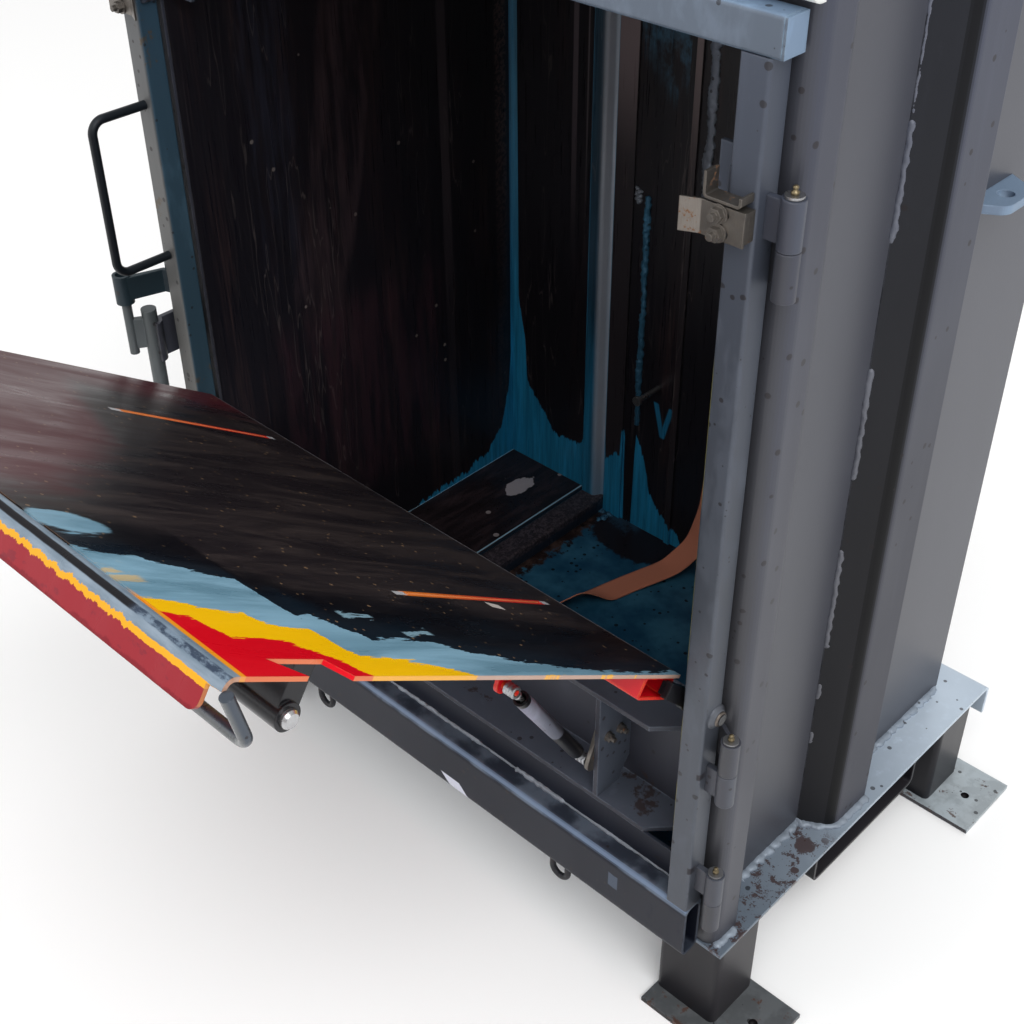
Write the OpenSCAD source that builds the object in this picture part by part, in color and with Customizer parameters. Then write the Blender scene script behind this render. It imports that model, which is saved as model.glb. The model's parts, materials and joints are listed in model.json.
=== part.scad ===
// Recycling baler with a vertical press, seen with its loading flap hanging open.
// The origin is the centre of the four anchor holes, on the floor. The door is at -Y, +Z is up.

/* [Chamber] */
// Clear width between the side walls
chamber_w = 982; // [860:1:1100]
// Clear depth from the front edge of the side walls to the back wall
chamber_d = 683; // [600:1:800]
// Height of the walls above the top of the door
wall_up = 170; // [140:1:260]
// Thickness of the side and back walls
wall_t = 6; // [4:0.5:8]
// Width of the raised floor at the left
step_w = 199; // [120:1:260]
// Height of the raised floor
step_h = 28; // [15:1:40]
// Width of the bar beside the raised floor
floor_bar_w = 48; // [30:1:60]
// Height of that bar
floor_bar_h = 33; // [20:1:45]
// Sheet thickness of the raised floor and its bar
floor_t = 3; // [2:0.5:5]
// Start of the raised floor behind the walls' front edge
floor_start = 12; // [8:1:60]
// Width of a pressed strap guide in the back wall
guide_w = 48; // [36:1:60]
// Depth of a strap guide
guide_d = 16; // [8:1:24]
// Distance of a strap guide from the middle
guide_x = 275; // [200:1:340]
// Width of the flat strip beside the left guide
strip_w = 41; // [20:1:50]
// Width of the narrow strip further right
thin_strip_w = 13; // [8:1:30]
// Thickness of both strips
strip_t = 4; // [2:0.5:6]
// Length of the strap peg
peg_l = 62; // [30:1:80]
// Diameter of the strap peg
peg_d = 10; // [8:1:14]
// Strap peg's distance left of the middle
peg_x = 128; // [100:1:190]
// Height of the strap peg above the base plate
peg_h = 330; // [200:1:500]

/* [Base] */
// Thickness of the base plate
base_t = 6; // [4:0.5:10]
// Height of the base plate's underside
base_z = 164; // [140:1:200]
// Base plate beyond the columns at each side
base_side = 17; // [5:1:40]
// Base plate ahead of the walls
base_front = 3; // [1:0.5:5]
// Base plate behind the back wall
base_rear = 62; // [55:1:90]
// Depth of the lip folded down at the rear
lip_h = 61; // [30:1:80]
// Outside bend radius of the folded plates
fold_r = 12; // [8:1:18]
// Width of a leg
leg_w = 106; // [80:1:120]
// Depth of a leg
leg_d = 100; // [80:1:110]
// Wall of a leg
leg_t = 5; // [3:0.5:8]
// Corner radius of a leg
leg_r = 10; // [6:1:16]
// Thickness of a foot plate
foot_t = 8; // [6:1:12]
// Depth of a foot plate
foot_d = 138; // [125:1:170]
// Foot plate beyond the leg
foot_tab = 84; // [60:1:110]
// Diameter of an anchor hole
anchor_hole = 14; // [10:1:20]
// Distance of the front anchor holes from the base plate's front edge
anchor_front = 44; // [40:1:50]
// Distance of the rear anchor holes from the base plate's rear edge
anchor_rear = 100; // [90:1:110]
// Depth of the forklift channel
fork_d = 285; // [240:1:320]
// Height of the forklift channel
fork_h = 61; // [50:1:80]
// Wall of the forklift channel
fork_t = 5; // [3:0.5:8]
// Distance of the forklift channel's rear side ahead of the back wall
fork_rear = 154; // [150:1:190]

/* [Columns and ribs] */
// How far the columns and ribs stand out of the wall
col_d = 49; // [35:1:60]
// Sheet thickness of the columns and ribs
col_t = 5; // [3:0.5:6]
// Outside corner radius of a front column
col_r = 20; // [12:1:26]
// Width of a front column's flat side
col_flat = 56; // [45:1:70]
// Whole width of a front column along the wall
col_len = 115; // [100:1:130]
// Distance of a side rib's front foot behind the walls' front edge
rib_start = 274.4; // [240:1:300]
// Width of a side rib along the wall
rib_len = 119.6; // [100:1:140]
// Bend radius of a side rib
rib_r = 26; // [16:1:30]
// Height of the lashing eyes above the base plate
eye_h = 963; // [700:1:1200]
// Distance of the lashing eyes ahead of the back wall
eye_back = 179; // [90:1:200]
// Diameter of the hole in a lashing eye
eye_hole = 22; // [16:1:26]
// Thickness of a lashing eye
eye_t = 12; // [8:1:15]

/* [Door] */
// Side of the square post tube
post_s = 35; // [30:1:40]
// Wall of the post tube
post_t = 3; // [2:0.5:4]
// Post's outer face beyond the side wall
post_out = 26; // [22:1:28]
// Gap between the door and the walls
door_gap = 6; // [5.5:0.5:10]
// Height of the door
door_h = 1322; // [1290:1:1340]
// Underside of the door below the top of the base plate
door_drop = 2; // [0:1:6]
// Height of the bottom rail
rail_h = 100; // [80:1:110]
// Corner radius of the bottom rail
rail_r = 13; // [8:1:16]
// Height of the top bar
bar_h = 40; // [35:1:50]
// Top bar beyond the posts
bar_out = 9; // [5:1:12]
// Thickness of the apron above the bottom rail
apron_t = 5; // [4:0.5:5]
// Height of the panel's lower flange above the bottom rail
apron_h = 50; // [30:1:70]
// Height of the panel's web over its flanges
panel_h = 205; // [180:1:230]
// Depth of the panel behind the door frame
panel_d = 76; // [60:1:80]
// Web thickness of the panel
panel_t = 6; // [4:0.5:8]
// Flange thickness of the panel
flange_t = 8; // [6:1:10]
// Chamfer at the front corners of the flanges
flange_cut = 66; // [50:1:68]
// Web above the upper flange
web_up = 22; // [14:1:28]
// Distance of a gusset's middle from the middle of the door
gusset_x = 326; // [310:1:340]
// Thickness of a gusset
gusset_t = 8; // [6:1:10]

/* [Door hinges] */
// Outside diameter of a hinge barrel
barrel_od = 25; // [23:1:28]
// Diameter of a hinge pin
hinge_pin_d = 14; // [12:1:16]
// Length of one half of a hinge barrel
knuckle_l = 53; // [45:1:60]
// Gap between the two halves
knuckle_gap = 1; // [0.6:0.1:2]
// Running clearance on the hinge pins' radius
pin_fit = 0.06; // [0.02:0.01:0.1]
// Distance of the hinge line beyond the post
hinge_out = 28; // [27:1:32]
// Thickness of the hinge leaves
leaf_t = 8; // [6:1:10]

/* [Flap] */
// Width of the loading flap
flap_w = 942; // [900:1:950]
// Gap between the closed flap and the top bar
flap_gap = 34.5; // [26:0.5:60]
// Sheet thickness of the flap
flap_t = 5; // [4:0.5:6]
// Depth of the lip along the outer edge
flap_lip = 45; // [35:1:60]
// Distance of the lip's ends from the flap's ends
lip_in = 19; // [10:1:30]
// Radius at the lip's lower corners
lip_r = 12; // [5:1:20]
// Length of the slit along the outer bend
bend_slit_l = 700; // [500:10:800]
// Flap's top face above its hinge line
flap_rise = 30; // [28:1:34]
// Flap's hinge edge ahead of its hinge line
flap_reach = 30; // [26:1:34]
// Angle above level at which the flap hangs open
flap_open = 34.3; // [28:0.1:40]
// Height of the flap's hinge line above the bottom of the door
flap_axis_h = 457.5; // [452:0.5:462]
// Height of the box under the hinge edge
stiff_h = 32; // [26:1:36]
// Depth of that box
stiff_d = 70; // [50:1:80]
// Wall of that box
stiff_t = 4; // [3:0.5:5]
// Diameter of the flap's hinge pins
flap_pin_d = 16; // [12:1:18]
// Diameter of the boss round a flap pin
boss_d = 24; // [22:1:28]
// Width of the two slots
slot_w = 5; // [4:0.5:8]
// Length of the two slots
slot_l = 272; // [200:1:300]
// Start of the slots from the hinge edge
slot_start = 53; // [40:1:70]
// Distance of the slots from the middle
slot_x = 276; // [240:1:280]
// Diameter of the flap handle's rod
grip_d = 13; // [10:1:16]
// How far the flap handle stands off the corner
grip_off = 68; // [60:1:80]

/* [Flap latch] */
// Diameter of a latch bolt
latch_d = 20; // [14:1:22]
// Clearance of a latch bolt in its housing, on the radius
latch_fit = 0.3; // [0.2:0.05:0.5]
// Distance of the latch bolts from the flap's outer bend
latch_in = 125; // [115:1:135]
// Depth of the latch bolts' axis below the flap's top face
latch_drop = 57; // [52:1:60]
// Length of a latch housing
housing_l = 72; // [60:1:90]
// Thickness of a strike plate
strike_t = 3; // [2.5:0.5:4]
// Height of a strike plate
strike_h = 36; // [30:1:44]

/* [Gas springs] */
// Distance of the springs from the middle
spring_x = 303; // [285:1:308]
// Diameter of a spring's barrel
spring_d = 22; // [21:1:24]
// Diameter of a spring's rod
rod_d = 8; // [6:0.5:8]
// Clearance round the rod inside the barrel
rod_play = 3.4; // [3.2:0.1:3.6]
// Length of a spring's barrel
spring_l = 213; // [205:1:216]
// Height of the lower pivot below the flap's hinge line
spring_low = 237.7; // [232:0.1:242]
// Lower pivot behind the flap's hinge line
spring_back = 10.7; // [8:0.1:13]
// Upper pivot's distance along the flap
spring_out = 105.5; // [102:0.1:109]
// Upper pivot's depth below the flap's hinge line
spring_under = 80.7; // [78:0.1:84]

/* [Handle and door bolt] */
// Diameter of the door handle's rod
handle_d = 13; // [10:1:16]
// Length of the door handle
handle_l = 232; // [180:1:260]
// How far the door handle stands out
handle_out = 89; // [70:1:100]
// Height of the door handle's middle above the bottom of the door
handle_mid = 853; // [820:1:880]
// Outside diameter of the keeper ring
keeper_od = 28; // [26:1:32]
// Height of the keeper ring
keeper_h = 47; // [40:1:55]
// Height of the keeper ring's underside above the bottom of the door
keeper_z = 656; // [640:1:670]
// Diameter of the drop bolt's pin
drop_pin_d = 15; // [13:1:16]
// Clearance of that pin in the keeper ring, on the radius
keeper_play = 1.8; // [1.5:0.1:2.2]
// Outside diameter of the drop bolt's tube
drop_tube_d = 24; // [20:1:26]
// Length of that tube
drop_tube_l = 248; // [230:1:260]
// Gap between the tube and the keeper's arm above it, with the bolt lowered
drop_gap = 24; // [18:1:26]

/* [Press] */
// Stroke of the press plate
press_stroke = 700; // [500:1:720]
// Gap between the press plate and the walls
press_gap = 11; // [8:1:20]
// Height of the press plate
press_h = 60; // [40:1:70]
// Diameter of the press rod
ram_d = 60; // [50:1:70]
// Bore of the cylinder
bore_d = 100; // [90:1:110]
// Outside diameter of the cylinder
cylinder_d = 125; // [122:1:140]
// Sliding clearance of the press rod, on the radius
ram_fit = 0.1; // [0.05:0.01:0.15]
// Thickness of the head plate
head_t = 12; // [10:1:20]

/* [Hidden] */
$fn = 48;

paint = [0.43, 0.43, 0.47];
dark_paint = [0.30, 0.31, 0.34];
blue_grey = [0.52, 0.58, 0.66];
worn_black = [0.09, 0.09, 0.11];
zinc = [0.68, 0.70, 0.72];
red_paint = [0.78, 0.05, 0.12];
bare_steel = [0.60, 0.61, 0.62];

// Sides and levels of the frame
wall_in = chamber_w / 2;
wall_out = wall_in + wall_t;
col_x = wall_out + col_d;
base_x = col_x + base_side;
base_top = base_z + base_t;
door_z = base_top - door_drop;
door_top = door_z + door_h;
wall_top = door_top + wall_up;
base_l = base_front + chamber_d + wall_t + base_rear;
base_y = -(base_l + anchor_front - anchor_rear) / 2;
front_y = base_y + base_front;
back_y = front_y + chamber_d;
anchor_x = base_x + foot_tab / 2;
anchor_y = (base_l - anchor_front - anchor_rear) / 2;
leg_in = base_x - leg_w;
leg_shift = 6;
front_foot_shift = -9;
rear_foot_shift = 1;

// Places on the door
post_x1 = wall_out + post_out;
post_x0 = post_x1 - post_s;
door_back = front_y - door_gap;
door_front = door_back - post_s;
bar_z = door_top - bar_h;
rail_top = door_z + rail_h;
panel_z = rail_top + apron_h;
panel_top = panel_z + panel_h;
web_y = door_back + panel_d;
panel_x = wall_in - 11;
hinge_x = post_x1 + hinge_out;
hinge_y = (door_front + door_back) / 2 + 1.5;
knuckle_r = barrel_od / 2;

// Middle of each hinge above the bottom of the door, and which half belongs to the door: 1 is the upper one
HINGES = [[1100, 1], [382, 0], [134, 1]];

// The flap's own frame: x across, s away from the hinge line along the flap, h above the hinge line
flap_y = (door_front + door_back) / 2 + 5.5;
flap_z = door_z + flap_axis_h;
flap_top = flap_rise;
flap_under = flap_rise - flap_t;
flap_end = bar_z - flap_gap - flap_z;
latch_s = flap_end - latch_in;
latch_h = flap_top - latch_drop;
notch = [[flap_w / 2, -31], [flap_w / 2 - 32, -19], [flap_w / 2 - 32, 53], [flap_w / 2, 28]];

// The gas springs: pivots seen along X, in the frame's Y and Z
spring_a = [flap_y + spring_back, flap_z - spring_low];
spring_b = [
    flap_y - spring_out * cos(flap_open) - spring_under * sin(flap_open),
    flap_z + spring_out * sin(flap_open) - spring_under * cos(flap_open)];
spring_reach = norm(spring_b - spring_a);
spring_lean = atan2(spring_a[0] - spring_b[0], spring_b[1] - spring_a[1]);
spring_foot = 28;
socket_l = 20;
stud_d = 8;
stud_fit = 0.08;

// The drop bolt beside the left post
drop_x = -(post_x1 + 26);
drop_y = door_back - 60;
ring_x = drop_x - 16;
ring_y = drop_y - 26.6;
arm_rise = 8;

// The press
press_x = wall_in - press_gap;
press_y0 = front_y + 24;
press_y1 = back_y - guide_d - 12;
press_mid = (press_y0 + press_y1) / 2;
press_z = door_top + 10;
piston_h = 50;
cap_t = 24;
flange_s = 230;
gland_h = 30;
cylinder_z = wall_top + head_t;
rod_top = cylinder_z + gland_h + 6 + press_stroke + piston_h;
cylinder_top = rod_top + 10 + cap_t;

// Outlines

function unit(v) = v / norm(v);
function flat(p) = [p[0], p[1]];
function left_of(v) = [-v[1], v[0]];
function run(path, i) = unit(flat(path[i + 1]) - flat(path[i]));
function reversed(list) = [for (i = [len(list) - 1:-1:0]) list[i]];

// The points of one rounded corner; b is [x, y, radius]
function corner(a, b, c, steps = 8) =
    b[2] <= 0 ? [flat(b)] :
    let (
        u = unit(flat(a) - flat(b)),
        v = unit(flat(c) - flat(b)),
        half = acos(u * v) / 2,
        mid = flat(b) + unit(u + v) * b[2] / sin(half),
        start = flat(b) + u * b[2] / tan(half) - mid,
        end = flat(b) + v * b[2] / tan(half) - mid,
        from = atan2(start[1], start[0]),
        sweep = (atan2(end[1], end[0]) - from + 540) % 360 - 180
    ) [for (i = [0:steps]) mid + b[2] * [cos(from + sweep * i / steps), sin(from + sweep * i / steps)]];

// A closed outline with rounded corners
function rounded(path) =
    let (n = len(path)) [for (i = [0:n - 1]) each corner(path[(i + n - 1) % n], path[i], path[(i + 1) % n])];

// An open line with rounded corners
function bent(path) =
    let (n = len(path))
    [for (i = [0:n - 1]) each (i == 0 || i == n - 1 ? [flat(path[i])] : corner(path[i - 1], path[i], path[i + 1]))];

// The same line moved to its left by t, with its radii following
function moved(path, t) =
    let (n = len(path))
    [for (i = [0:n - 1])
        let (
            a = left_of(run(path, max(i - 1, 0))),
            b = left_of(run(path, min(i, n - 2))),
            side = (a + b) / (1 + a * b),
            turn = sign(cross(a, b)),
            r = path[i][2] <= 0 ? 0 : max(path[i][2] - t * turn, 0.5)
        ) [path[i][0] + side[0] * t, path[i][1] + side[1] * t, r]];

// The section of a sheet of thickness t that is folded along a line and lies to its left
function folded(path, t) = concat(bent(path), reversed(bent(moved(path, t))));

function rect(x0, x1, y0, y1, r) = rounded([[x0, y0, r], [x1, y0, r], [x1, y1, r], [x0, y1, r]]);

module box(x0, x1, y0, y1, z0, z1) translate([x0, y0, z0]) cube([x1 - x0, y1 - y0, z1 - z0]);

module both_sides() {
    children();
    mirror([1, 0, 0]) children();
}

// A section drawn in Y and Z, run along X
module along_x(x0, x1) translate([x0, 0, 0]) rotate([90, 0, 90]) linear_extrude(x1 - x0) children();

// A section drawn in X and Z, run along Y
module along_y(y0, y1) translate([0, y1, 0]) rotate([90, 0, 0]) linear_extrude(y1 - y0) children();

module along_z(z0, z1) translate([0, 0, z0]) linear_extrude(z1 - z0) children();

module rod_x(x0, x1, y, z, d) translate([x0, y, z]) rotate([0, 90, 0]) cylinder(h = x1 - x0, d = d);

module rod_z(z0, z1, x, y, d) translate([x, y, z0]) cylinder(h = z1 - z0, d = d);

// A round bar from the origin along +X, then bent round to run along +Z
module elbow(r, d) translate([0, 0, r]) rotate([90, 0, 0]) rotate([0, 0, -90])
    rotate_extrude(angle = 90) translate([r, 0]) circle(d = d);

// A bar bent to a U in X and Z: its legs run along +Z and its back lies on z = 0, from -half to half
module u_bar(half, leg, r, d) {
    rod_x(-half + r, half - r, 0, 0, d);
    for (side = [0, 1]) mirror([side, 0, 0]) {
        translate([half - r, 0, 0]) elbow(r, d);
        rod_z(r, leg, half, 0, d);
    }
}

// Base

module base_plate() color(blue_grey)
    along_x(-base_x, base_x)
        polygon(folded([
            [base_y, base_top, 0],
            [base_y + base_l, base_top, fold_r],
            [base_y + base_l, base_top - lip_h, 0]], -base_t));

module leg(y_mid) along_z(foot_t, base_z) difference() {
    polygon(rect(leg_in, base_x, y_mid - leg_d / 2, y_mid + leg_d / 2, leg_r));
    polygon(rect(leg_in + leg_t, base_x - leg_t, y_mid - leg_d / 2 + leg_t, y_mid + leg_d / 2 - leg_t, leg_r - leg_t));
}

module front_legs() color(paint) both_sides() leg(base_y + leg_d / 2);

module rear_legs() color(paint) both_sides() leg(anchor_y - leg_shift);

module foot(hole_y, shift) difference() {
    box(leg_in, base_x + foot_tab, hole_y + shift - foot_d / 2, hole_y + shift + foot_d / 2, 0, foot_t);
    rod_z(-1, foot_t + 1, anchor_x, hole_y, anchor_hole);
}

module foot_plates() color(bare_steel) both_sides() {
    foot(-anchor_y, front_foot_shift);
    foot(anchor_y, rear_foot_shift);
}

module fork_channel() color(paint)
    along_x(-base_x + fork_t, base_x - fork_t)
        polygon(folded([
            [back_y - fork_rear - fork_d, base_z, 0],
            [back_y - fork_rear - fork_d, base_z - fork_h, fold_r],
            [back_y - fork_rear, base_z - fork_h, fold_r],
            [back_y - fork_rear, base_z, 0]], fork_t));

// What the left strap guide takes from the floor pieces that run up to the back wall
module guide_cut() along_z(base_top - 1, base_top + step_h + floor_bar_h)
    polygon(concat(bent(back_line()), [[wall_in, back_y + 1], [-wall_in, back_y + 1]]));

module floor_step() color(worn_black)
    difference() {
        along_y(front_y + floor_start, back_y)
            polygon(folded([
                [-wall_in, base_top + step_h, 0],
                [-wall_in + step_w, base_top + step_h, 6],
                [-wall_in + step_w, base_top, 0]], -floor_t));
        guide_cut();
    }

module floor_bar() color(worn_black)
    difference() {
        along_y(front_y + floor_start, back_y)
            polygon(folded([
                [-wall_in + step_w, base_top, 0],
                [-wall_in + step_w, base_top + floor_bar_h, 5],
                [-wall_in + step_w + floor_bar_w, base_top + floor_bar_h, 5],
                [-wall_in + step_w + floor_bar_w, base_top, 0]], -floor_t));
        guide_cut();
    }

// Walls, columns and ribs

module side_wall() along_z(base_top, wall_top)
    polygon([[wall_in, front_y + col_t], [wall_out, front_y + col_t], [wall_out, back_y + wall_t], [wall_in, back_y + wall_t]]);

module side_wall_right() color(dark_paint) side_wall();

module side_wall_left() color(dark_paint) mirror([1, 0, 0]) side_wall();

module front_column() along_z(base_top, wall_top) difference() {
    polygon(folded([
        [wall_in, front_y, 0],
        [col_x, front_y, col_r],
        [col_x, front_y + col_flat, 14],
        [wall_out - 4, front_y + col_len + 4.8, 0]], col_t));
    translate([wall_out - 20, front_y + col_t]) square([20, col_len * 2]);
}

module front_column_right() color(paint) front_column();

module front_column_left() color(paint) mirror([1, 0, 0]) front_column();

module side_rib() along_z(base_top, wall_top) difference() {
    polygon(folded([
        [wall_out - 7, front_y + rib_start - 4, 0],
        [col_x, front_y + rib_start + 28.6, rib_r],
        [col_x, front_y + rib_start + rib_len, 6],
        [wall_out - 7, front_y + rib_start + rib_len, 0]], col_t));
    translate([wall_out - 20, front_y]) square([20, chamber_d]);
}

module side_rib_right() color(paint) side_rib();

module side_rib_left() color(paint) mirror([1, 0, 0]) side_rib();

function guide_points(x) = [
    [x - guide_w / 2, back_y, 7],
    [x - guide_w / 2 + 9, back_y - guide_d, 9],
    [x + guide_w / 2 - 9, back_y - guide_d, 9],
    [x + guide_w / 2, back_y, 7]];

function back_line() = concat(
    [[-wall_in, back_y, 0]], guide_points(-guide_x), guide_points(guide_x), [[wall_in, back_y, 0]]);

// The left ends of the flat strips welded on the back wall, seen from inside
strip_x = -(guide_x - guide_w / 2 - 7.5);
thin_strip_x = -91;

module back_wall() color(worn_black) {
    along_z(base_top, wall_top)
        polygon(folded(back_line(), wall_t));
    for (s = [[strip_x, strip_w], [thin_strip_x, thin_strip_w]])
        box(s[0], s[0] + s[1], back_y - strip_t, back_y + wall_t / 2, base_top, wall_top);
}

module back_ribs() color(paint)
    both_sides() along_z(base_top, wall_top) difference() {
        polygon(folded([
            [guide_x + 110, back_y, 0],
            [guide_x + 72, back_y + wall_t + col_d, 14],
            [guide_x - 72, back_y + wall_t + col_d, 14],
            [guide_x - 110, back_y, 0]], col_t));
        translate([0, back_y - 20]) square([wall_in, wall_t + 20]);
    }

eye_z = base_top + eye_h - eye_t / 2;
eye_y = back_y - eye_back;

module lashing_eyes() color(paint)
    both_sides() along_z(eye_z, eye_z + eye_t) difference() {
        polygon(rounded([
            [wall_out, eye_y - 58, 0], [wall_out + 45, eye_y - 32, 22],
            [wall_out + 45, eye_y + 32, 22], [wall_out, eye_y + 58, 0]]));
        translate([wall_out + 23, eye_y]) circle(d = eye_hole);
    }

module strap_peg() color(bare_steel)
    translate([-peg_x, back_y, base_top + peg_h]) rotate([90, 0, 0]) {
        cylinder(h = peg_l, d = peg_d);
        translate([0, 0, peg_l - 6]) cylinder(h = 6, d = peg_d + 8);
    }

// The plate covers the columns and ribs, and steps in behind them to leave the way to the lashing eyes free
module head_plate() color(paint)
    along_z(wall_top, cylinder_z) difference() {
        step_y = front_y + rib_start + rib_len + 8;
        rear_y = back_y + wall_t + col_d;
        polygon([
            [-col_x, front_y], [col_x, front_y], [col_x, step_y], [wall_out, step_y + 30], [wall_out, rear_y],
            [-wall_out, rear_y], [-wall_out, step_y + 30], [-col_x, step_y]]);
        translate([0, press_mid]) circle(d = ram_d + 24);
    }

cover_y = door_back - 18;
cover_t = 4;

module head_cover() color([0.86, 0.84, 0.76])
    along_x(-col_x, col_x)
        polygon(folded([
            [front_y, door_top + 6, 0],
            [cover_y, door_top + 6, 18],
            [cover_y, wall_top + 80, 12],
            [front_y + 30, wall_top + 80, 0]], -cover_t));

// The eject strap: flat webbing from the floor up the back wall

STRAP = [
    [-150, -230, 0], [-125, -80, 0], [-95, 70, 0], [-58, 190, 0], [-22, 270, 12], [6, 308, 60],
    [16, 325, 130], [20, 330, 230], [20, 331, 700], [20, 331, 1120]];
strap_w = 48;
strap_t = 2.5;
strap_lift = 0.5;

function along(path, i) = unit(path[min(i + 1, len(path) - 1)] - path[max(i - 1, 0)]);
function across(v) = norm([v[0], v[1]]) < 0.2 ? [1, 0, 0] : unit([v[1], -v[0], 0]);
function strap_ring(p, v) = let (c = across(v) * strap_w / 2, n = cross(across(v), v) * strap_t)
    [p + c, p - c, p - c + n, p + c + n];

module eject_strap() color([0.75, 0.36, 0.25]) {
    route = [for (p = STRAP) p + [0, 0, base_top + strap_lift]];
    n = len(route);
    points = [for (i = [0:n - 1]) each strap_ring(route[i], along(route, i))];
    ends = [[3, 2, 1, 0], [for (k = [0:3]) (n - 1) * 4 + k]];
    sides = [for (i = [0:n - 2], k = [0:3]) [i * 4 + k, i * 4 + (k + 1) % 4, i * 4 + 4 + (k + 1) % 4, i * 4 + 4 + k]];
    polyhedron(points, concat(ends, sides), convexity = 4);
}

// Head: cylinder, power unit and controls

module press_cylinder() color(dark_paint)
    difference() {
        union() {
            translate([-flange_s / 2, press_mid - flange_s / 2, cylinder_z]) cube([flange_s, flange_s, 25]);
            rod_z(cylinder_z, cylinder_top, 0, press_mid, cylinder_d);
            rod_z(cylinder_top - cap_t, cylinder_top, 0, press_mid, cylinder_d + 16);
            for (z = [cylinder_z + 60, cylinder_top - 60])
                translate([0, press_mid + cylinder_d / 2 - 8, z]) rotate([-90, 0, 0]) cylinder(h = 32, d = 34);
        }
        rod_z(cylinder_z - 1, cylinder_top - cap_t, 0, press_mid, bore_d);
        for (x = [-1, 1], y = [-1, 1])
            rod_z(cylinder_z - 1, cylinder_z + 26, x * (flange_s / 2 - 26), press_mid + y * (flange_s / 2 - 26), 22);
    }

module cylinder_gland() color(bare_steel)
    difference() {
        rod_z(cylinder_z, cylinder_z + gland_h, 0, press_mid, bore_d);
        rod_z(cylinder_z - 1, cylinder_z + gland_h + 1, 0, press_mid, ram_d + 2 * ram_fit);
    }

module hex_bolt(d, head, len) {
    cylinder(h = head, d = d * 1.8, $fn = 6);
    translate([0, 0, -len]) cylinder(h = len, d = d);
}

module head_bolts() color(zinc)
    for (x = [-1, 1], y = [-1, 1])
        translate([x * (flange_s / 2 - 26), press_mid + y * (flange_s / 2 - 26), cylinder_z + 25]) hex_bolt(20, 13, 24);

tank = [260, 200, 300, 230];

module power_tank() color(paint)
    along_z(cylinder_z, cylinder_z + tank[3]) difference() {
        polygon(rect(tank[0] - 30, tank[0] - 30 + tank[2], press_mid - tank[1] / 2, press_mid + tank[1] / 2, 14));
        polygon(rect(tank[0] - 26, tank[0] - 34 + tank[2], press_mid - tank[1] / 2 + 4, press_mid + tank[1] / 2 - 4, 10));
    }

module power_motor() color(dark_paint) {
    z = cylinder_z + tank[3];
    x = tank[0] - 30 + tank[2] / 2;
    box(tank[0] - 30, tank[0] - 30 + tank[2], press_mid - tank[1] / 2, press_mid + tank[1] / 2, z, z + 8);
    rod_z(z + 8, z + 22, x, press_mid, 170);
    rod_z(z + 22, z + 222, x, press_mid, 140);
    for (i = [0:23]) translate([x, press_mid, z + 34]) rotate([0, 0, i * 15]) box(68, 79, -1.5, 1.5, 0, 165);
    rod_z(z + 222, z + 262, x, press_mid, 156);
}

box_x = -300;
box_w = 190;
box_d = 80;
box_z = wall_top - 92;
box_h = 150;
button_y = cover_y - box_d;

// Each control: x from the box's left, height in the box, and diameter of its hole
BUTTONS = [[45, 40], [145, 40], [95, 108]];
button_d = 22;
button_fit = 0.4;
button_travel = 5;

function button_place(i) = [box_x + BUTTONS[i][0], button_y, box_z + BUTTONS[i][1]];

module control_box() color(dark_paint)
    difference() {
        along_y(button_y, cover_y) polygon(rect(box_x, box_x + box_w, box_z, box_z + box_h, 10));
        box(box_x + 4, box_x + box_w - 4, button_y + 4, cover_y - 4, box_z + 4, box_z + box_h - 4);
        for (i = [0:2]) translate(button_place(i)) rotate([-90, 0, 0]) translate([0, 0, -1])
            cylinder(h = 6, d = button_d + 2 * button_fit);
    }

module button(i, head_d, head_h) translate(button_place(i)) rotate([90, 0, 0]) {
    translate([0, 0, button_travel + 1]) cylinder(h = head_h, d = head_d);
    translate([0, 0, -14]) cylinder(h = 14 + button_travel + 1, d = button_d);
    translate([0, 0, -18]) cylinder(h = 4, d = button_d + 6);
}

module start_button() color("green") button(0, 30, 8);

module return_button() color("black") button(1, 30, 8);

module emergency_stop() color("red") button(2, 42, 18);

// Door hinges

function knuckle_z(h, upper) = door_z + h[0] + (upper == 1 ? knuckle_gap / 2 : -knuckle_gap / 2 - knuckle_l);

module knuckle(z, bore) difference() {
    rod_z(z, z + knuckle_l, hinge_x, hinge_y, barrel_od);
    rod_z(z - 1, z + knuckle_l + 1, hinge_x, hinge_y, bore);
}

module door_knuckles() color(paint)
    for (h = HINGES) {
        z = knuckle_z(h, h[1]);
        knuckle(z, hinge_pin_d + 2 * pin_fit);
        difference() {
            box(post_x1, hinge_x, hinge_y - leaf_t / 2 - 1, hinge_y + leaf_t / 2 - 1, z + 4, z + knuckle_l - 4);
            rod_z(z, z + knuckle_l, hinge_x, hinge_y, barrel_od - 1);
        }
    }

module frame_knuckles() color(paint)
    for (h = HINGES) {
        z = knuckle_z(h, 1 - h[1]);
        knuckle(z, hinge_pin_d);
        difference() {
            along_z(z + 2, z + knuckle_l - 2) polygon([
                [hinge_x + knuckle_r, hinge_y], [hinge_x + knuckle_r - 8, hinge_y],
                [col_x - col_r - 12, front_y], [col_x - col_r, front_y]]);
            rod_z(z, z + knuckle_l, hinge_x, hinge_y, barrel_od - 1);
        }
    }

module hinge_pins() color(bare_steel)
    for (h = HINGES) {
        z = door_z + h[0];
        rod_z(z - knuckle_l, z + knuckle_l + 1, hinge_x, hinge_y, hinge_pin_d);
        rod_z(z + knuckle_l + 1, z + knuckle_l + 4, hinge_x, hinge_y, barrel_od - 5);
    }

// Drop bolt at the left of the door

guide_z = door_z + keeper_z - 104;
low_guide_z = guide_z - 147;

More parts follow.
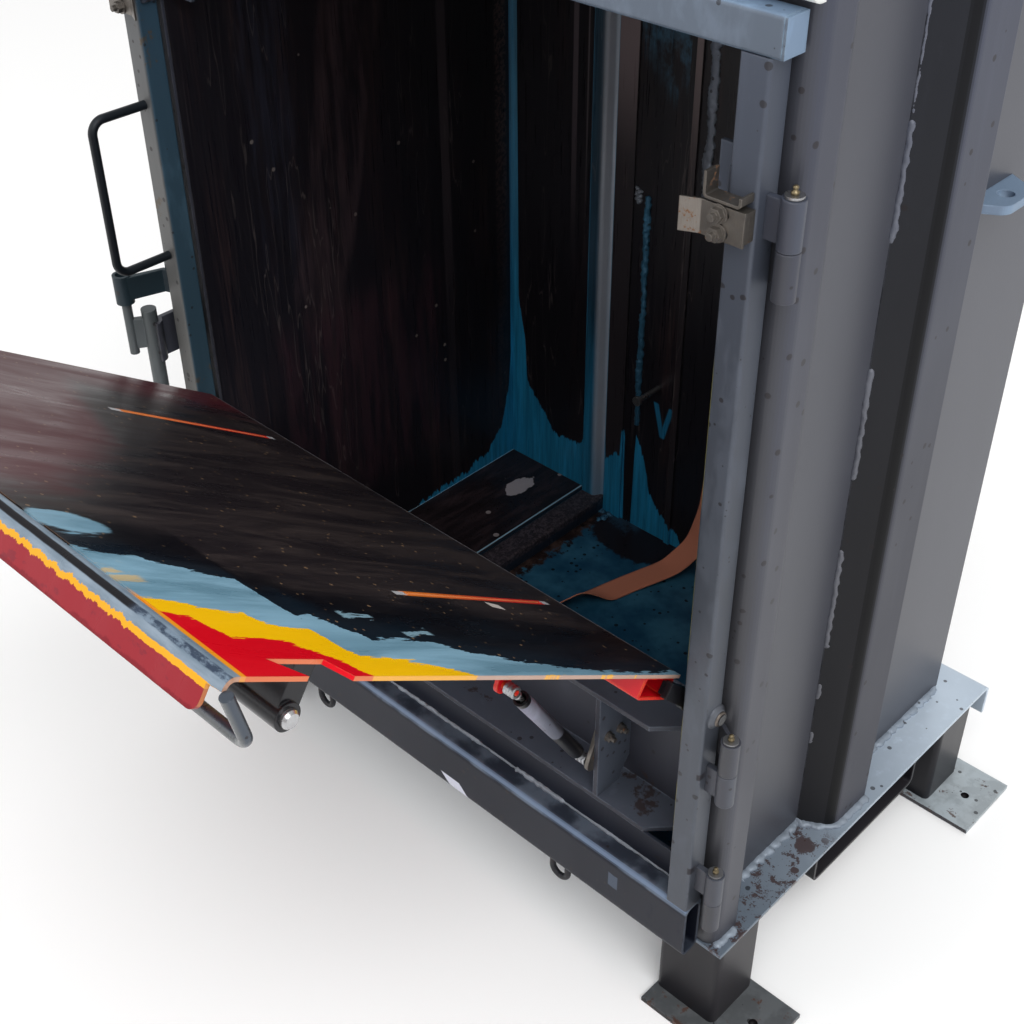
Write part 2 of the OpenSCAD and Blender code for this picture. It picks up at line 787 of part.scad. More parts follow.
module tube_guide(z, h, open_front) {
    side = -col_x;
    along_z(z, z + h) difference() {
        union() {
            translate([drop_x, drop_y]) circle(d = drop_tube_d + 12);
            polygon([[side - 8, drop_y], [side, drop_y], [side, front_y + 52], [side - 8, front_y + 52]]);
        }
        translate([drop_x, drop_y]) circle(d = drop_tube_d + 0.6);
        if (open_front) translate([drop_x - 30, drop_y - 31]) square([60, 30]);
    }
}

module bolt_guide() color(paint) {
    tube_guide(guide_z, 67, true);
    tube_guide(low_guide_z, 24, false);
}

module door_bolt() color(blue_grey) {
    top = door_z + keeper_z;
    tube_top = top + arm_rise - drop_gap;
    rod_z(tube_top - drop_tube_l, tube_top, drop_x, drop_y, drop_tube_d);
    rod_z(top - 89, top - 2, ring_x, ring_y, drop_pin_d);
    v = unit([ring_x - drop_x, ring_y - drop_y]);
    along_z(top - 80, top - 30) polygon([
        [drop_x, drop_y] + left_of(v) * 5 + v * 10, [drop_x, drop_y] - left_of(v) * 5 + v * 10,
        [ring_x, ring_y] - left_of(v) * 5 - v * 5, [ring_x, ring_y] + left_of(v) * 5 - v * 5]);
}

module bolt_keeper() color(paint) {
    z = door_z + keeper_z;
    difference() {
        union() {
            rod_z(z, z + keeper_h, ring_x, ring_y, keeper_od);
            along_z(z + arm_rise, z + keeper_h - 2) polygon([
                [ring_x + 6, ring_y + 6], [ring_x + 14, ring_y], [-post_x1 - 12, door_front + 2],
                [-post_x1, door_front + 6], [-post_x1, door_front + 14], [-post_x1 - 17, door_front + 8]]);
            box(-post_x1 - 8, -post_x1, door_front + 5, door_front + 28, z + arm_rise, z + keeper_h + 14);
        }
        rod_z(z - 1, z + keeper_h + 1, ring_x, ring_y, drop_pin_d + 2 * keeper_play);
    }
}

// Door frame

module post_tube(x0, x1) along_z(rail_top, bar_z) difference() {
    polygon(rect(x0, x1, door_front, door_back, 4));
    polygon(rect(x0 + post_t, x1 - post_t, door_front + post_t, door_back - post_t, 2));
}

module door_post_right() color(paint)
    difference() {
        union() {
            post_tube(post_x0, post_x1);
            rod_x(post_x0, post_x1 + 5, flap_y, flap_z, boss_d);
        }
        rod_x(post_x0 - 1, post_x1 + 6, flap_y, flap_z, flap_pin_d + 2 * pin_fit);
    }

module door_post_left() color(paint) mirror([1, 0, 0]) door_post_right();

module door_top_bar() color(blue_grey) {
    along_x(-post_x1 - bar_out, post_x1 + bar_out) difference() {
        polygon(rect(door_front, door_back, bar_z, door_top, 4));
        polygon(rect(door_front + post_t, door_back - post_t, bar_z + post_t, door_top - post_t, 2));
    }
    both_sides() box(post_x1 + bar_out, post_x1 + bar_out + 3, door_front + 1, door_back - 1, bar_z + 1, door_top - 1);
}

module door_bottom_rail() color(paint)
    along_x(-post_x1, post_x1) difference() {
        polygon(rounded([
            [door_front, door_z, rail_r], [door_back, door_z, rail_r],
            [door_back, rail_top, 4], [door_front, rail_top, rail_r]]));
        polygon(rect(door_front + 4, door_back - 4, door_z + 4, rail_top - 4, rail_r - 4));
    }

module door_apron() color(paint)
    box(-post_x0 - 12, post_x0 + 12, door_back, door_back + apron_t, rail_top - 60, panel_z);

module flange(z) along_z(z, z + flange_t) polygon([
    [-panel_x, web_y], [-panel_x, door_back + flange_cut], [-panel_x + flange_cut, door_back],
    [panel_x - flange_cut, door_back], [panel_x, door_back + flange_cut], [panel_x, web_y]]);

module door_panel() color(dark_paint) {
    flange(panel_z);
    flange(panel_top - flange_t);
    box(-panel_x, panel_x, web_y - panel_t, web_y, panel_z, panel_top + web_up);
}

module spring_gussets() color(dark_paint)
    both_sides() along_x(gusset_x - gusset_t / 2, gusset_x + gusset_t / 2) polygon([
        [door_back, panel_z + flange_t], [web_y - panel_t - 24, panel_z + flange_t],
        [web_y - panel_t, panel_z + flange_t + 34], [web_y - panel_t, panel_top - flange_t],
        [door_back, panel_top - flange_t]]);

gusset_bolts = [[door_back + 19, panel_z + 116], [door_back + 45, panel_z + 114]];
stud_plate_t = 6;

module spring_studs() color(zinc)
    both_sides() {
        x1 = gusset_x - gusset_t / 2;
        along_x(x1 - stud_plate_t, x1) difference() {
            union() {
                translate(spring_a) circle(d = 24);
                polygon([
                    spring_a + [-11, 5], spring_a + [6, -10], gusset_bolts[1] + [11, -10],
                    gusset_bolts[1] + [11, 11], gusset_bolts[0] + [-12, 11]]);
            }
            for (p = gusset_bolts) translate(p) circle(d = 8.4);
        }
        rod_x(spring_x - 9, x1 - stud_plate_t, spring_a[0], spring_a[1], stud_d);
    }

module door_handle() color(dark_paint) {
    translate([-(post_x0 + post_x1) / 2, door_front - handle_out, door_z + handle_mid])
        rotate([0, 90, 0]) rotate([-90, 0, 0]) u_bar(handle_l / 2, handle_out, 20, handle_d);
}

HOOKS = [-261, 279];
hook_r = 15;

module rail_hooks() color(worn_black)
    for (x = HOOKS) translate([x, (door_front + door_back) / 2, door_z]) {
        for (side = [-1, 1]) translate([side * hook_r, 0, -26]) cylinder(h = 26, d = 10);
        translate([0, 0, -26]) rotate([-90, 0, 0]) rotate_extrude(angle = 180)
            translate([hook_r, 0]) circle(d = 10);
    }

// Flap latch on the door

strike_z = flap_z + latch_s - strike_h / 2;
strike_y = flap_y + latch_h - latch_d / 2 - 1;

module flap_strikes() color(zinc)
    both_sides() {
        difference() {
            along_z(strike_z, strike_z + strike_h) polygon([
                [post_x1, strike_y], [post_x1, strike_y - strike_t], [post_x0 - 16, strike_y - strike_t],
                [post_x0 - 36, strike_y - strike_t - 9], [post_x0 - 36, strike_y - 9], [post_x0 - 16, strike_y]]);
            for (z = [8, strike_h - 8]) translate([post_x0 + 1, strike_y + 1, strike_z + z]) rotate([90, 0, 0])
                linear_extrude(strike_t + 2) {
                    circle(d = 8.4);
                    translate([0, -4.2]) square([12, 8.4]);
                    translate([12, 0]) circle(d = 8.4);
                }
        }
        box(post_x0 + 14, post_x1 - 1, strike_y, door_front, strike_z + 2, strike_z + strike_h - 2);
        along_y(door_front - 20, door_front) polygon(folded([
            [post_x0 - 14, strike_z + strike_h + 30, 0],
            [post_x0 - 14, strike_z + strike_h + 3, 5],
            [post_x1 - 4, strike_z + strike_h + 3, 5],
            [post_x1 - 4, strike_z + strike_h + 14, 0]], 3));
    }

module flap_stops() color(paint)
    both_sides() {
        z = strike_z + 8;
        back = flap_y + flap_top + 1;
        box(post_x0 - 50, post_x0 - 2, back, back + 6, z, z + 56);
        box(post_x0 - 6, post_x0 - 2, door_front + 8, back, z, z + 56);
        box(post_x0 - 2, post_x0, door_front + 8, door_back - 4, z, z + 56);
    }

module nut(d) cylinder(h = d * 0.8, d = d * 1.75, $fn = 6);

module door_fasteners() color(zinc)
    both_sides() {
        for (p = gusset_bolts) translate([gusset_x + gusset_t / 2, p[0], p[1]]) rotate([0, 90, 0]) {
            cylinder(h = 1.6, d = 16);
            translate([0, 0, 1.6]) nut(8);
            translate([0, 0, 8]) cylinder(h = 6, d = 8);
        }
        for (z = [8, strike_h - 8]) translate([post_x0 + 6, strike_y - strike_t, strike_z + z]) rotate([90, 0, 0]) {
            cylinder(h = 2, d = 20);
            translate([0, 0, 2]) nut(9);
            translate([0, 0, 9.2]) cylinder(h = 6, d = 8);
        }
    }

// Flap

// Places children in the flap's frame: x across, -Y away from the hinge line, Z above the flap
module in_flap() translate([0, flap_y, flap_z]) rotate([-flap_open, 0, 0]) children();

module flap_plate() color(worn_black) in_flap()
    difference() {
        union() {
            along_z(flap_under, flap_top) polygon([
                [-flap_w / 2, -flap_reach], [flap_w / 2, -flap_reach],
                [flap_w / 2, -flap_end + 14], [-flap_w / 2, -flap_end + 14]]);
            along_x(-flap_w / 2, flap_w / 2) polygon(folded([
                [-flap_end + 16, flap_top, 0],
                [-flap_end, flap_top, 12],
                [-flap_end, flap_top - flap_lip, 0]], flap_t));
        }
        both_sides() along_z(flap_under - 1, flap_top + 1) {
            polygon([for (p = notch) [p[0] + (p[0] < flap_w / 2 ? 0 : 1), -latch_s - p[1]]]);
            translate([slot_x - slot_w / 2, -flap_reach - slot_start - slot_l]) square([slot_w, slot_l]);
        }
        both_sides() translate([0, -flap_end + flap_t + 1, 0]) rotate([90, 0, 0]) linear_extrude(flap_t + 2)
            lip_corner();
        box(-bend_slit_l / 2, bend_slit_l / 2, -flap_end + 16, -flap_end + 19, flap_top - 2, flap_top + 1);
    }

// What is cut off the lip's end, seen from in front
module lip_corner() {
    x = flap_w / 2 - lip_in;
    low = flap_top - flap_lip;
    difference() {
        polygon([
            [x - lip_r, low - 1], [x - lip_r, low + lip_r], [x, low + lip_r], [x, flap_top - 16],
            [flap_w / 2 + 1, flap_top - 14], [flap_w / 2 + 1, low - 1]]);
        translate([x - lip_r, low + lip_r]) circle(r = lip_r);
    }
}

module flap_stiffener() color(red_paint) in_flap()
    along_x(-flap_w / 2 + 5, flap_w / 2 - 5) difference() {
        polygon(rect(-flap_reach - stiff_d, -flap_reach - 2, flap_under - stiff_h, flap_under, 4));
        polygon(rect(-flap_reach - stiff_d + stiff_t, -flap_reach - 2 - stiff_t,
            flap_under - stiff_h + stiff_t, flap_under - stiff_t, 2));
    }

lug_x = 9;

module flap_pins() color(dark_paint) in_flap()
    both_sides() {
        along_x(flap_w / 2 + 1, flap_w / 2 + 1 + lug_x) {
            circle(d = boss_d + 6);
            polygon([[8, -14], [8, 12], [-flap_reach - 30, flap_under - 2], [-flap_reach - 30, flap_under - 24]]);
        }
        rod_x(flap_w / 2 + 1 + lug_x, post_x1 + 10, 0, 0, flap_pin_d);
        box(flap_w / 2 - 5, flap_w / 2 + 1, -flap_reach - 28, -flap_reach - 8, flap_under - 22, flap_under - 5);
    }

module latch_housings() color(worn_black) in_flap()
    both_sides() {
        x1 = flap_w / 2 - 29;
        difference() {
            union() {
                rod_x(x1 - housing_l, x1, -latch_s, latch_h, 30);
                box(x1 - housing_l + 6, x1 - 4, -latch_s - 13, -latch_s + 13, latch_h, flap_under);
            }
            rod_x(x1 - housing_l - 1, x1 + 1, -latch_s, latch_h, latch_d + 2 * latch_fit);
        }
    }

module latch_bolt(side) in_flap() mirror([side, 0, 0]) {
    x1 = flap_w / 2 - 22;
    rod_x(x1 - 150, x1 - 3, -latch_s, latch_h, latch_d);
    translate([x1 - 3, -latch_s, latch_h]) rotate([0, 90, 0]) cylinder(h = 3, d1 = latch_d, d2 = latch_d - 5);
    rod_x(x1 - 154, x1 - 150, -latch_s, latch_h, latch_d + 8);
}

module latch_bolt_right() color(zinc) latch_bolt(0);

module latch_bolt_left() color(zinc) latch_bolt(1);

module flap_handle() color(bare_steel) in_flap()
    translate([0, -flap_end + 49, flap_top - 62]) rotate([46, 0, 0])
        u_bar(flap_w / 2 + grip_d / 2, grip_off, 16, grip_d);

module spring_brackets() color(red_paint) in_flap()
    both_sides() {
        x1 = spring_x - 14;
        along_x(x1 - 6, x1) union() {
            translate([-spring_out, -spring_under]) circle(d = 26);
            polygon([
                [-spring_out - 13, -spring_under], [-spring_out + 13, -spring_under],
                [-flap_reach - stiff_d, flap_under - stiff_h], [-flap_reach - stiff_d, flap_under],
                [-spring_out - 45, flap_under]]);
        }
        rod_x(x1, spring_x + 9, -spring_out, -spring_under, stud_d);
    }

// Gas springs

module at_spring(p) translate([spring_x, p[0], p[1]]) rotate([spring_lean, 0, 0]) children();

// A ball socket on its stud, with its neck towards +Z
module socket(neck) difference() {
    union() {
        translate([-8, 0, 0]) rotate([0, 90, 0]) cylinder(h = 16, d = 17);
        cylinder(h = neck, d = 12);
    }
    translate([-9, 0, 0]) rotate([0, 90, 0]) cylinder(h = 18, d = stud_d + 2 * stud_fit);
}

module spring_barrels() color(worn_black)
    both_sides() at_spring(spring_a) {
        socket(spring_foot + 2);
        translate([0, 0, spring_foot]) difference() {
            cylinder(h = spring_l, d = spring_d);
            translate([0, 0, 6]) cylinder(h = spring_l, d = rod_d + 2 * rod_play);
        }
    }

module spring_rods() color(zinc)
    both_sides() at_spring(spring_b) rotate([180, 0, 0]) {
        socket(socket_l);
        translate([0, 0, socket_l - 1]) cylinder(h = spring_reach - spring_foot - socket_l - 8, d = rod_d);
    }

// Press

module press_plate() color(dark_paint) {
    difference() {
        along_z(press_z, press_z + press_h) polygon(rect(-press_x, press_x, press_y0, press_y1, 10));
        for (i = [-2:1], j = [0, 1])
            translate([i * press_x / 2 + 8, press_y0 + 8 + j * (press_y1 - press_y0) / 2, press_z + 10])
                cube([press_x / 2 - 16, (press_y1 - press_y0) / 2 - 16, press_h]);
    }
    rod_z(press_z + 9, press_z + press_h + 8, 0, press_mid, ram_d + 50);
}

module press_rod() color(bare_steel) {
    rod_z(press_z + press_h + 8, rod_top - piston_h, 0, press_mid, ram_d);
    rod_z(rod_top - piston_h, rod_top, 0, press_mid, bore_d - 2 * ram_fit);
}

base_plate();
front_legs();
rear_legs();
foot_plates();
fork_channel();
floor_step();
floor_bar();
side_wall_right();
side_wall_left();
front_column_right();
front_column_left();
side_rib_right();
side_rib_left();
back_wall();
back_ribs();
lashing_eyes();
strap_peg();
head_plate();
head_cover();
eject_strap();
press_cylinder();
cylinder_gland();
head_bolts();
power_tank();
power_motor();
control_box();
start_button();
return_button();
emergency_stop();
frame_knuckles();
hinge_pins();
bolt_guide();
door_post_right();
door_post_left();
door_top_bar();
door_bottom_rail();
door_apron();
door_panel();
spring_gussets();
spring_studs();
door_handle();
rail_hooks();
flap_strikes();
flap_stops();
door_fasteners();
door_knuckles();
bolt_keeper();
flap_plate();
flap_stiffener();
flap_pins();
latch_housings();
flap_handle();
spring_brackets();
latch_bolt_right();
latch_bolt_left();
spring_barrels();
spring_rods();
door_bolt();
press_plate();
press_rod();
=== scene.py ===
"""Looks of a recycling baler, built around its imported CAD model. Lengths are in metres, in the model's frame:
the origin is the middle of the four anchor holes on the floor, the door is at -Y and +Z is up."""

import json

import bpy
import numpy as np
from mathutils import Matrix, Vector


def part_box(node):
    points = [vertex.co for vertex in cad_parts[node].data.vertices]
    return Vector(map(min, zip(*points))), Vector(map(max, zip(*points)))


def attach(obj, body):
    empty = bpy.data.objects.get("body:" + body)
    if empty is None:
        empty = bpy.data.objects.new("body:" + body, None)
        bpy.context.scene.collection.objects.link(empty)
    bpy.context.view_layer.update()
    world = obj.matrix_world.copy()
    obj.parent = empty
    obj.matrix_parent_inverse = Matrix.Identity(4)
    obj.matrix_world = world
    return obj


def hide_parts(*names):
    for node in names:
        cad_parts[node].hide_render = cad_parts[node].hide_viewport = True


bl_info = {
    "name": "Recycling baler looks",
    "version": (1, 0, 0),
    "blender": (4, 5, 0),
    "location": "3D View > Sidebar > Baler",
    "description": "Paint, welds, springs, webbing and stage of a recycling baler",
    "category": "Object",
}

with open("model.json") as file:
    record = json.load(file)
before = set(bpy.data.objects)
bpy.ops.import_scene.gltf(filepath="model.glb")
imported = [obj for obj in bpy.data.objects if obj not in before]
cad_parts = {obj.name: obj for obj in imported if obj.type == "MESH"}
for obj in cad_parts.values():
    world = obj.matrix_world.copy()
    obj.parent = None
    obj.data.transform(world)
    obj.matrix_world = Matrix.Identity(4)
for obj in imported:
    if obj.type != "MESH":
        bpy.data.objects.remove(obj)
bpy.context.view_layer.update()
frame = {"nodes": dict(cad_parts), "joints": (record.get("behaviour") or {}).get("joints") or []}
NODES = frame["nodes"]


def linear(red, green, blue):
    """A colour as the eye reads it, 0 to 255, turned into the linear values that shaders take."""
    seen = np.array([red, green, blue]) / 255
    return tuple(float(v) for v in np.where(seen <= 0.04045, seen / 12.92, ((seen + 0.055) / 1.055) ** 2.4))


# Places that several pieces share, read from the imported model

DEGREE = np.pi / 180
FLAP_JOINT = next(j for j in frame["joints"] if j["name"] == "flap_hinge")
FLAP_HINGE = np.array(FLAP_JOINT["pos_m"])
FLAP_TILT = 34.3 * DEGREE
WALL_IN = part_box("side_wall_right")[0].x
WALL_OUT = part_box("side_wall_right")[1].x
COLUMN_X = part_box("front_column_right")[1].x
FRONT_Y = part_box("front_column_right")[0].y
BACK_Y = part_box("strap_peg")[1].y
BASE_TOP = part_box("base_plate")[1].z
WALL_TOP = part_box("back_wall")[1].z
POST_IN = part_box("door_post_right")[0].x
POST_OUT = POST_IN + 0.035
DOOR_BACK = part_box("door_post_right")[1].y
RAIL_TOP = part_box("door_bottom_rail")[1].z
HINGE_X = (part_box("hinge_pins")[0].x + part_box("hinge_pins")[1].x) / 2
HINGE_Y = (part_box("hinge_pins")[0].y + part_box("hinge_pins")[1].y) / 2
ANCHOR_X, ANCHOR_Y = 0.605, 0.305
HINGE_HEIGHTS = (1.268, 0.550, 0.302)
NIPPLE_FOOT = 0.057
SLEEVE_R = 0.011
SOCKET_R = 0.0085

# The camera: its place, how it is turned (yaw, pitch and roll in degrees) and the width of its sensor in
# millimetres
CAMERA_PLACE = (1.2367, -1.4633, 1.908)
CAMERA_TURN = (-43.91, 36.89, 0.50)
SENSOR = 36

# The lamps: place, size and share of the lamps' power
LAMPS = {"key": ((3.4, -2.2, 5.2), 4.0, 1.0), "fill": ((-3.5, -4.5, 3.2), 4.5, 0.35)}
FLOOR_HALF = 30.0
FLOOR_DROP = 0.0005

# The strap's way over the floor and up the back wall, in millimetres over the base plate
STRAP_WAY = ((-140, -230, 0), (-114, -80, 0), (-87, 70, 0), (-58, 190, 0), (-22, 270, 12), (6, 308, 60),
             (16, 325, 130), (20, 330, 230), (20, 331, 700), (20, 331, 1120))
STRAP_HALF = 0.024
STRAP_ROLL = 48 * DEGREE


# Surfaces


def unit(v):
    return v / np.linalg.norm(v, axis=-1, keepdims=True)


def skin(points, ring=True, caps=True):
    """Quads over a grid of points, rows along a path and columns round it. A ring joins the last column to
    the first, and caps close both ends with a fan on the middle of the end row."""
    rows, columns = points.shape[:2]
    near = np.arange(columns if ring else columns - 1)
    i, j = np.meshgrid(np.arange(rows - 1), near, indexing="ij")
    k = (j + 1) % columns
    faces = np.stack([i * columns + j, i * columns + k, (i + 1) * columns + k, (i + 1) * columns + j], -1)
    faces = faces.reshape(-1, 4).tolist()
    verts = points.reshape(-1, 3)
    if ring and caps:
        first, last = len(verts), len(verts) + 1
        verts = np.vstack([verts, points[0].mean(0), points[-1].mean(0)])
        far = (rows - 1) * columns
        faces += [[first, (a + 1) % columns, a] for a in range(columns)]
        faces += [[last, far + a, far + (a + 1) % columns] for a in range(columns)]
    return verts, faces


def joined(parts):
    """One list of points and one of faces from several surfaces."""
    verts, faces, count = [], [], 0
    for points, quads in parts:
        verts.append(points)
        faces += [[a + count for a in quad] for quad in quads]
        count += len(points)
    return np.vstack(verts), faces


def piece(name, parts, body, material, smooth=True):
    """A mesh object from surfaces, riding on a body."""
    verts, faces = joined(parts)
    mesh = bpy.data.meshes.new(name)
    mesh.from_pydata(verts.tolist(), [], faces)
    mesh.update()
    mesh.polygons.foreach_set("use_smooth", np.full(len(faces), smooth))
    mesh.materials.append(material)
    made = bpy.data.objects.new(name, mesh)
    bpy.context.scene.collection.objects.link(made)
    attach(made, body)
    return made


def sweep(path, section, up, scale=None, ring=True, caps=True):
    """A section of (side, up) pairs carried along a path: point = path + side * (up x tangent) + up * up."""
    path, section = np.asarray(path, float), np.asarray(section, float)
    along = unit(np.gradient(path, axis=0))
    side = unit(np.cross(np.broadcast_to(up, path.shape), along))
    over = np.cross(along, side)
    if scale is None:
        scale = np.ones((len(path), len(section)))
    reach = section[None] * scale[:, :, None]
    return skin(path[:, None] + side[:, None] * reach[..., :1] + over[:, None] * reach[..., 1:], ring, caps)


def lathe(profile, foot, axis, count=32, caps=True):
    """A profile of (radius, height) pairs turned about an axis:
    point = foot + axis * height + radius * (a cos t + b sin t)."""
    profile = np.asarray(profile, float)
    axis = unit(np.asarray(axis, float))
    a = unit(np.cross(axis, [0.3, 0.5, 0.81]))
    b = np.cross(axis, a)
    turn = np.linspace(0, 2 * np.pi, count, endpoint=False)
    ring = np.cos(turn)[:, None] * a + np.sin(turn)[:, None] * b
    points = np.asarray(foot, float) + profile[:, None, 1:] * axis + profile[:, None, :1] * ring
    return skin(points, True, caps)


def bead(way, out, width=0.008, height=0.004, pitch=0.0045, seed=0, taper=0.004, lumps=0.22):
    """A weld bead along a way of two or more points: a half-sunk oval tube whose radius is 1 + 0.12 |sin(pi
    (s + 0.5 |side|) / pitch)| + lumps * noise, with slow waves in its width and place, and rounded ends."""
    way, out = np.asarray(way, float), np.asarray(out, float)
    gone = np.concatenate([[0], np.cumsum(np.linalg.norm(np.diff(way, axis=0), axis=1))])
    length = gone[-1]
    rng = np.random.default_rng(seed)
    s = np.linspace(0, length, max(8, int(length / pitch * 3)))
    path = np.stack([np.interp(s, gone, way[:, k]) for k in range(3)], 1)
    waves = sum(rng.uniform(0.3, 1) * np.sin(s * f + rng.uniform(0, 6.3)) for f in (23, 61, 140, 310)) / 4
    side = unit(np.cross(out, unit(np.gradient(path, axis=0))))
    path = path + side * (waves * width * 0.25)[:, None]
    turn = np.linspace(0, 2 * np.pi, 12, endpoint=False)
    section = np.stack([np.cos(turn) * width / 2, np.sin(turn) * height], -1)
    ripple = 1 + 0.12 * np.abs(np.sin(np.pi * (s[:, None] + 0.5 * np.abs(section[None, :, 0])) / pitch))
    knots = np.linspace(0, length, int(length / 0.005) + 3)
    noise = rng.uniform(-1, 1, (len(knots), len(turn)))
    noise = noise + np.roll(noise, 1, 1)
    ripple = ripple + lumps * np.stack([np.interp(s, knots, column) for column in noise.T], 1)
    ends = np.sqrt(np.clip(np.minimum(s, length - s) / taper, 0.02, 1))
    scale = ripple * (ends * (1 + 0.4 * np.roll(waves, 5)))[:, None]
    return sweep(path, section, out, scale)


def crumb(place, size, seed):
    """A crumb of slag: a ball whose radius is size * (0.6 + 0.7 * noise), squashed a little."""
    rng = np.random.default_rng(seed)
    around, over = np.linspace(0, 2 * np.pi, 8, endpoint=False), np.linspace(-1.3, 1.3, 5)
    radius = size * (0.6 + 0.7 * rng.uniform(0, 1, (5, 8)))
    ball = np.stack([np.cos(over)[:, None] * np.cos(around), np.cos(over)[:, None] * np.sin(around),
                     0.7 * np.sin(over)[:, None] * np.ones(8)], -1)
    return skin(np.asarray(place, float) + ball * radius[..., None])


# Shader trees


class Tree:
    """Adds nodes to a shader tree. An input takes a number, a colour, a vector or another node's output."""

    def __init__(self, tree):
        self.tree = tree

    def put(self, socket, value):
        if isinstance(value, bpy.types.NodeSocket):
            self.tree.links.new(value, socket)
        elif value is not None:
            if socket.type == "RGBA" and len(value) == 3:
                value = (*value, 1)
            socket.default_value = value

    def add(self, kind, *values, pick=0, **named):
        """Words that start with a small letter are the node's own settings, the others are its inputs."""
        made = self.tree.nodes.new("ShaderNode" + kind)
        for key, value in named.items():
            if key[0].islower():
                setattr(made, key, value)
        for key, value in named.items():
            if not key[0].islower():
                self.put(made.inputs[key.replace("_", " ")], value)
        for socket, value in zip(made.inputs, values):
            self.put(socket, value)
        return made.outputs[pick]

    def math(self, operation, *values, clamp=False):
        return self.add("Math", *values, operation=operation, use_clamp=clamp)

    def times(self, *values):
        total = values[0]
        for value in values[1:]:
            total = self.math("MULTIPLY", total, value)
        return total

    def plus(self, a, b):
        return self.math("ADD", a, b)

    def minus(self, a, b):
        return self.math("SUBTRACT", a, b)

    def size_of(self, value):
        """A value without its sign."""
        return self.math("ABSOLUTE", value)

    def most(self, *values):
        total = values[0]
        for value in values[1:]:
            total = self.math("MAXIMUM", total, value)
        return total

    def step(self, value, low, high, start=0.0, end=1.0, smooth=True):
        """Goes from start at low to end at high."""
        kind = "SMOOTHSTEP" if smooth else "LINEAR"
        return self.add("MapRange", value, low, high, start, end, interpolation_type=kind, clamp=True)

    def near(self, value, middle, reach, soft):
        """1 within reach of the middle, and 0 beyond reach and soft."""
        away = self.math("ABSOLUTE", self.math("SUBTRACT", value, middle))
        return self.step(away, reach, reach + soft, 1.0, 0.0)

    def between(self, value, low, high, soft=0.002):
        """1 between two values, with soft borders."""
        return self.near(value, (low + high) / 2, (high - low) / 2, soft)

    def curve(self, value, points):
        """Straight lines through (in, out) points, level beyond the ends."""
        ins, outs = np.array(points).T
        made = self.tree.nodes.new("ShaderNodeFloatCurve")
        line = made.mapping.curves[0]
        spots = np.stack([(ins - ins[0]) / (ins[-1] - ins[0]), (outs - outs.min()) / np.ptp(outs)], 1)
        for k, spot in enumerate(spots):
            point = line.points[k] if k < 2 else line.points.new(*spot)
            point.location = spot
        for point in line.points:
            point.handle_type = "VECTOR"
        made.mapping.update()
        self.put(made.inputs["Value"], self.step(value, float(ins[0]), float(ins[-1]), smooth=False))
        return self.step(made.outputs[0], 0.0, 1.0, float(outs.min()), float(outs.max()), smooth=False)

    def mix(self, share, a, b, blend="MIX"):
        made = self.tree.nodes.new("ShaderNodeMix")
        made.data_type, made.blend_type = "RGBA", blend
        self.put(made.inputs[0], share)
        self.put(made.inputs[6], a)
        self.put(made.inputs[7], b)
        return made.outputs[2]

    def place(self, where=None, scale=(1, 1, 1), shift=(0, 0, 0)):
        where = where or self.object()
        return self.add("Mapping", Vector=where, Scale=scale, Location=shift)

    def object(self):
        return self.add("TexCoord", pick=3)

    def facing(self):
        """The surface's direction in its own object, as x, y and z."""
        return self.parts(self.add("TexCoord", pick=1))

    def parts(self, vector):
        made = self.tree.nodes.new("ShaderNodeSeparateXYZ")
        self.put(made.inputs[0], vector)
        return made.outputs[0], made.outputs[1], made.outputs[2]

    def noise(self, where, scale, detail=4.0, rough=0.55, bend=0.0):
        return self.add("TexNoise", Vector=where, Scale=scale, Detail=detail, Roughness=rough,
                        Distortion=bend)

    def swing(self, *values):
        """Noise that swings about nought."""
        return self.math("SUBTRACT", self.noise(*values), 0.5)

    def tint(self, colour, shares):
        """A colour with its red, green and blue each multiplied."""
        return self.mix(1.0, colour, (*shares, 1), "MULTIPLY")

    def oval(self, x, y, middle, reach):
        """How far a place lies from an oval's middle, 1 on its rim."""
        across = self.math("DIVIDE", self.math("SUBTRACT", x, middle[0]), reach[0])
        along = self.math("DIVIDE", self.math("SUBTRACT", y, middle[1]), reach[1])
        return self.math("SQRT", self.math("ADD", self.times(across, across), self.times(along, along)))

    def bump(self, height, strength, distance, normal=None):
        return self.add("Bump", Height=height, Strength=strength, Distance=distance, Normal=normal)


def group(name, inputs, outputs, build):
    """A shader node group, made once: inputs and outputs are names with their kinds and defaults."""
    found = bpy.data.node_groups.get(name)
    if found:
        return found
    tree = bpy.data.node_groups.new(name, "ShaderNodeTree")
    for label, (kind, value) in inputs.items():
        socket = tree.interface.new_socket(label, in_out="INPUT", socket_type="NodeSocket" + kind)
        if value is not None:
            socket.default_value = value
    for label, kind in outputs.items():
        tree.interface.new_socket(label, in_out="OUTPUT", socket_type="NodeSocket" + kind)
    into = tree.nodes.new("NodeGroupInput")
    out = tree.nodes.new("NodeGroupOutput")
    results = build(Tree(tree), {s.name: s for s in into.outputs if s.name})
    for label, value in results.items():
        tree.links.new(value, out.inputs[label])
    return tree


def use(t, tree, **values):
    """Places a group in a tree and returns its outputs by name."""
    made = t.tree.nodes.new("ShaderNodeGroup")
    made.node_tree = tree
    for key, value in values.items():
        t.put(made.inputs[key.replace("_", " ")], value)
    return {s.name: s for s in made.outputs}


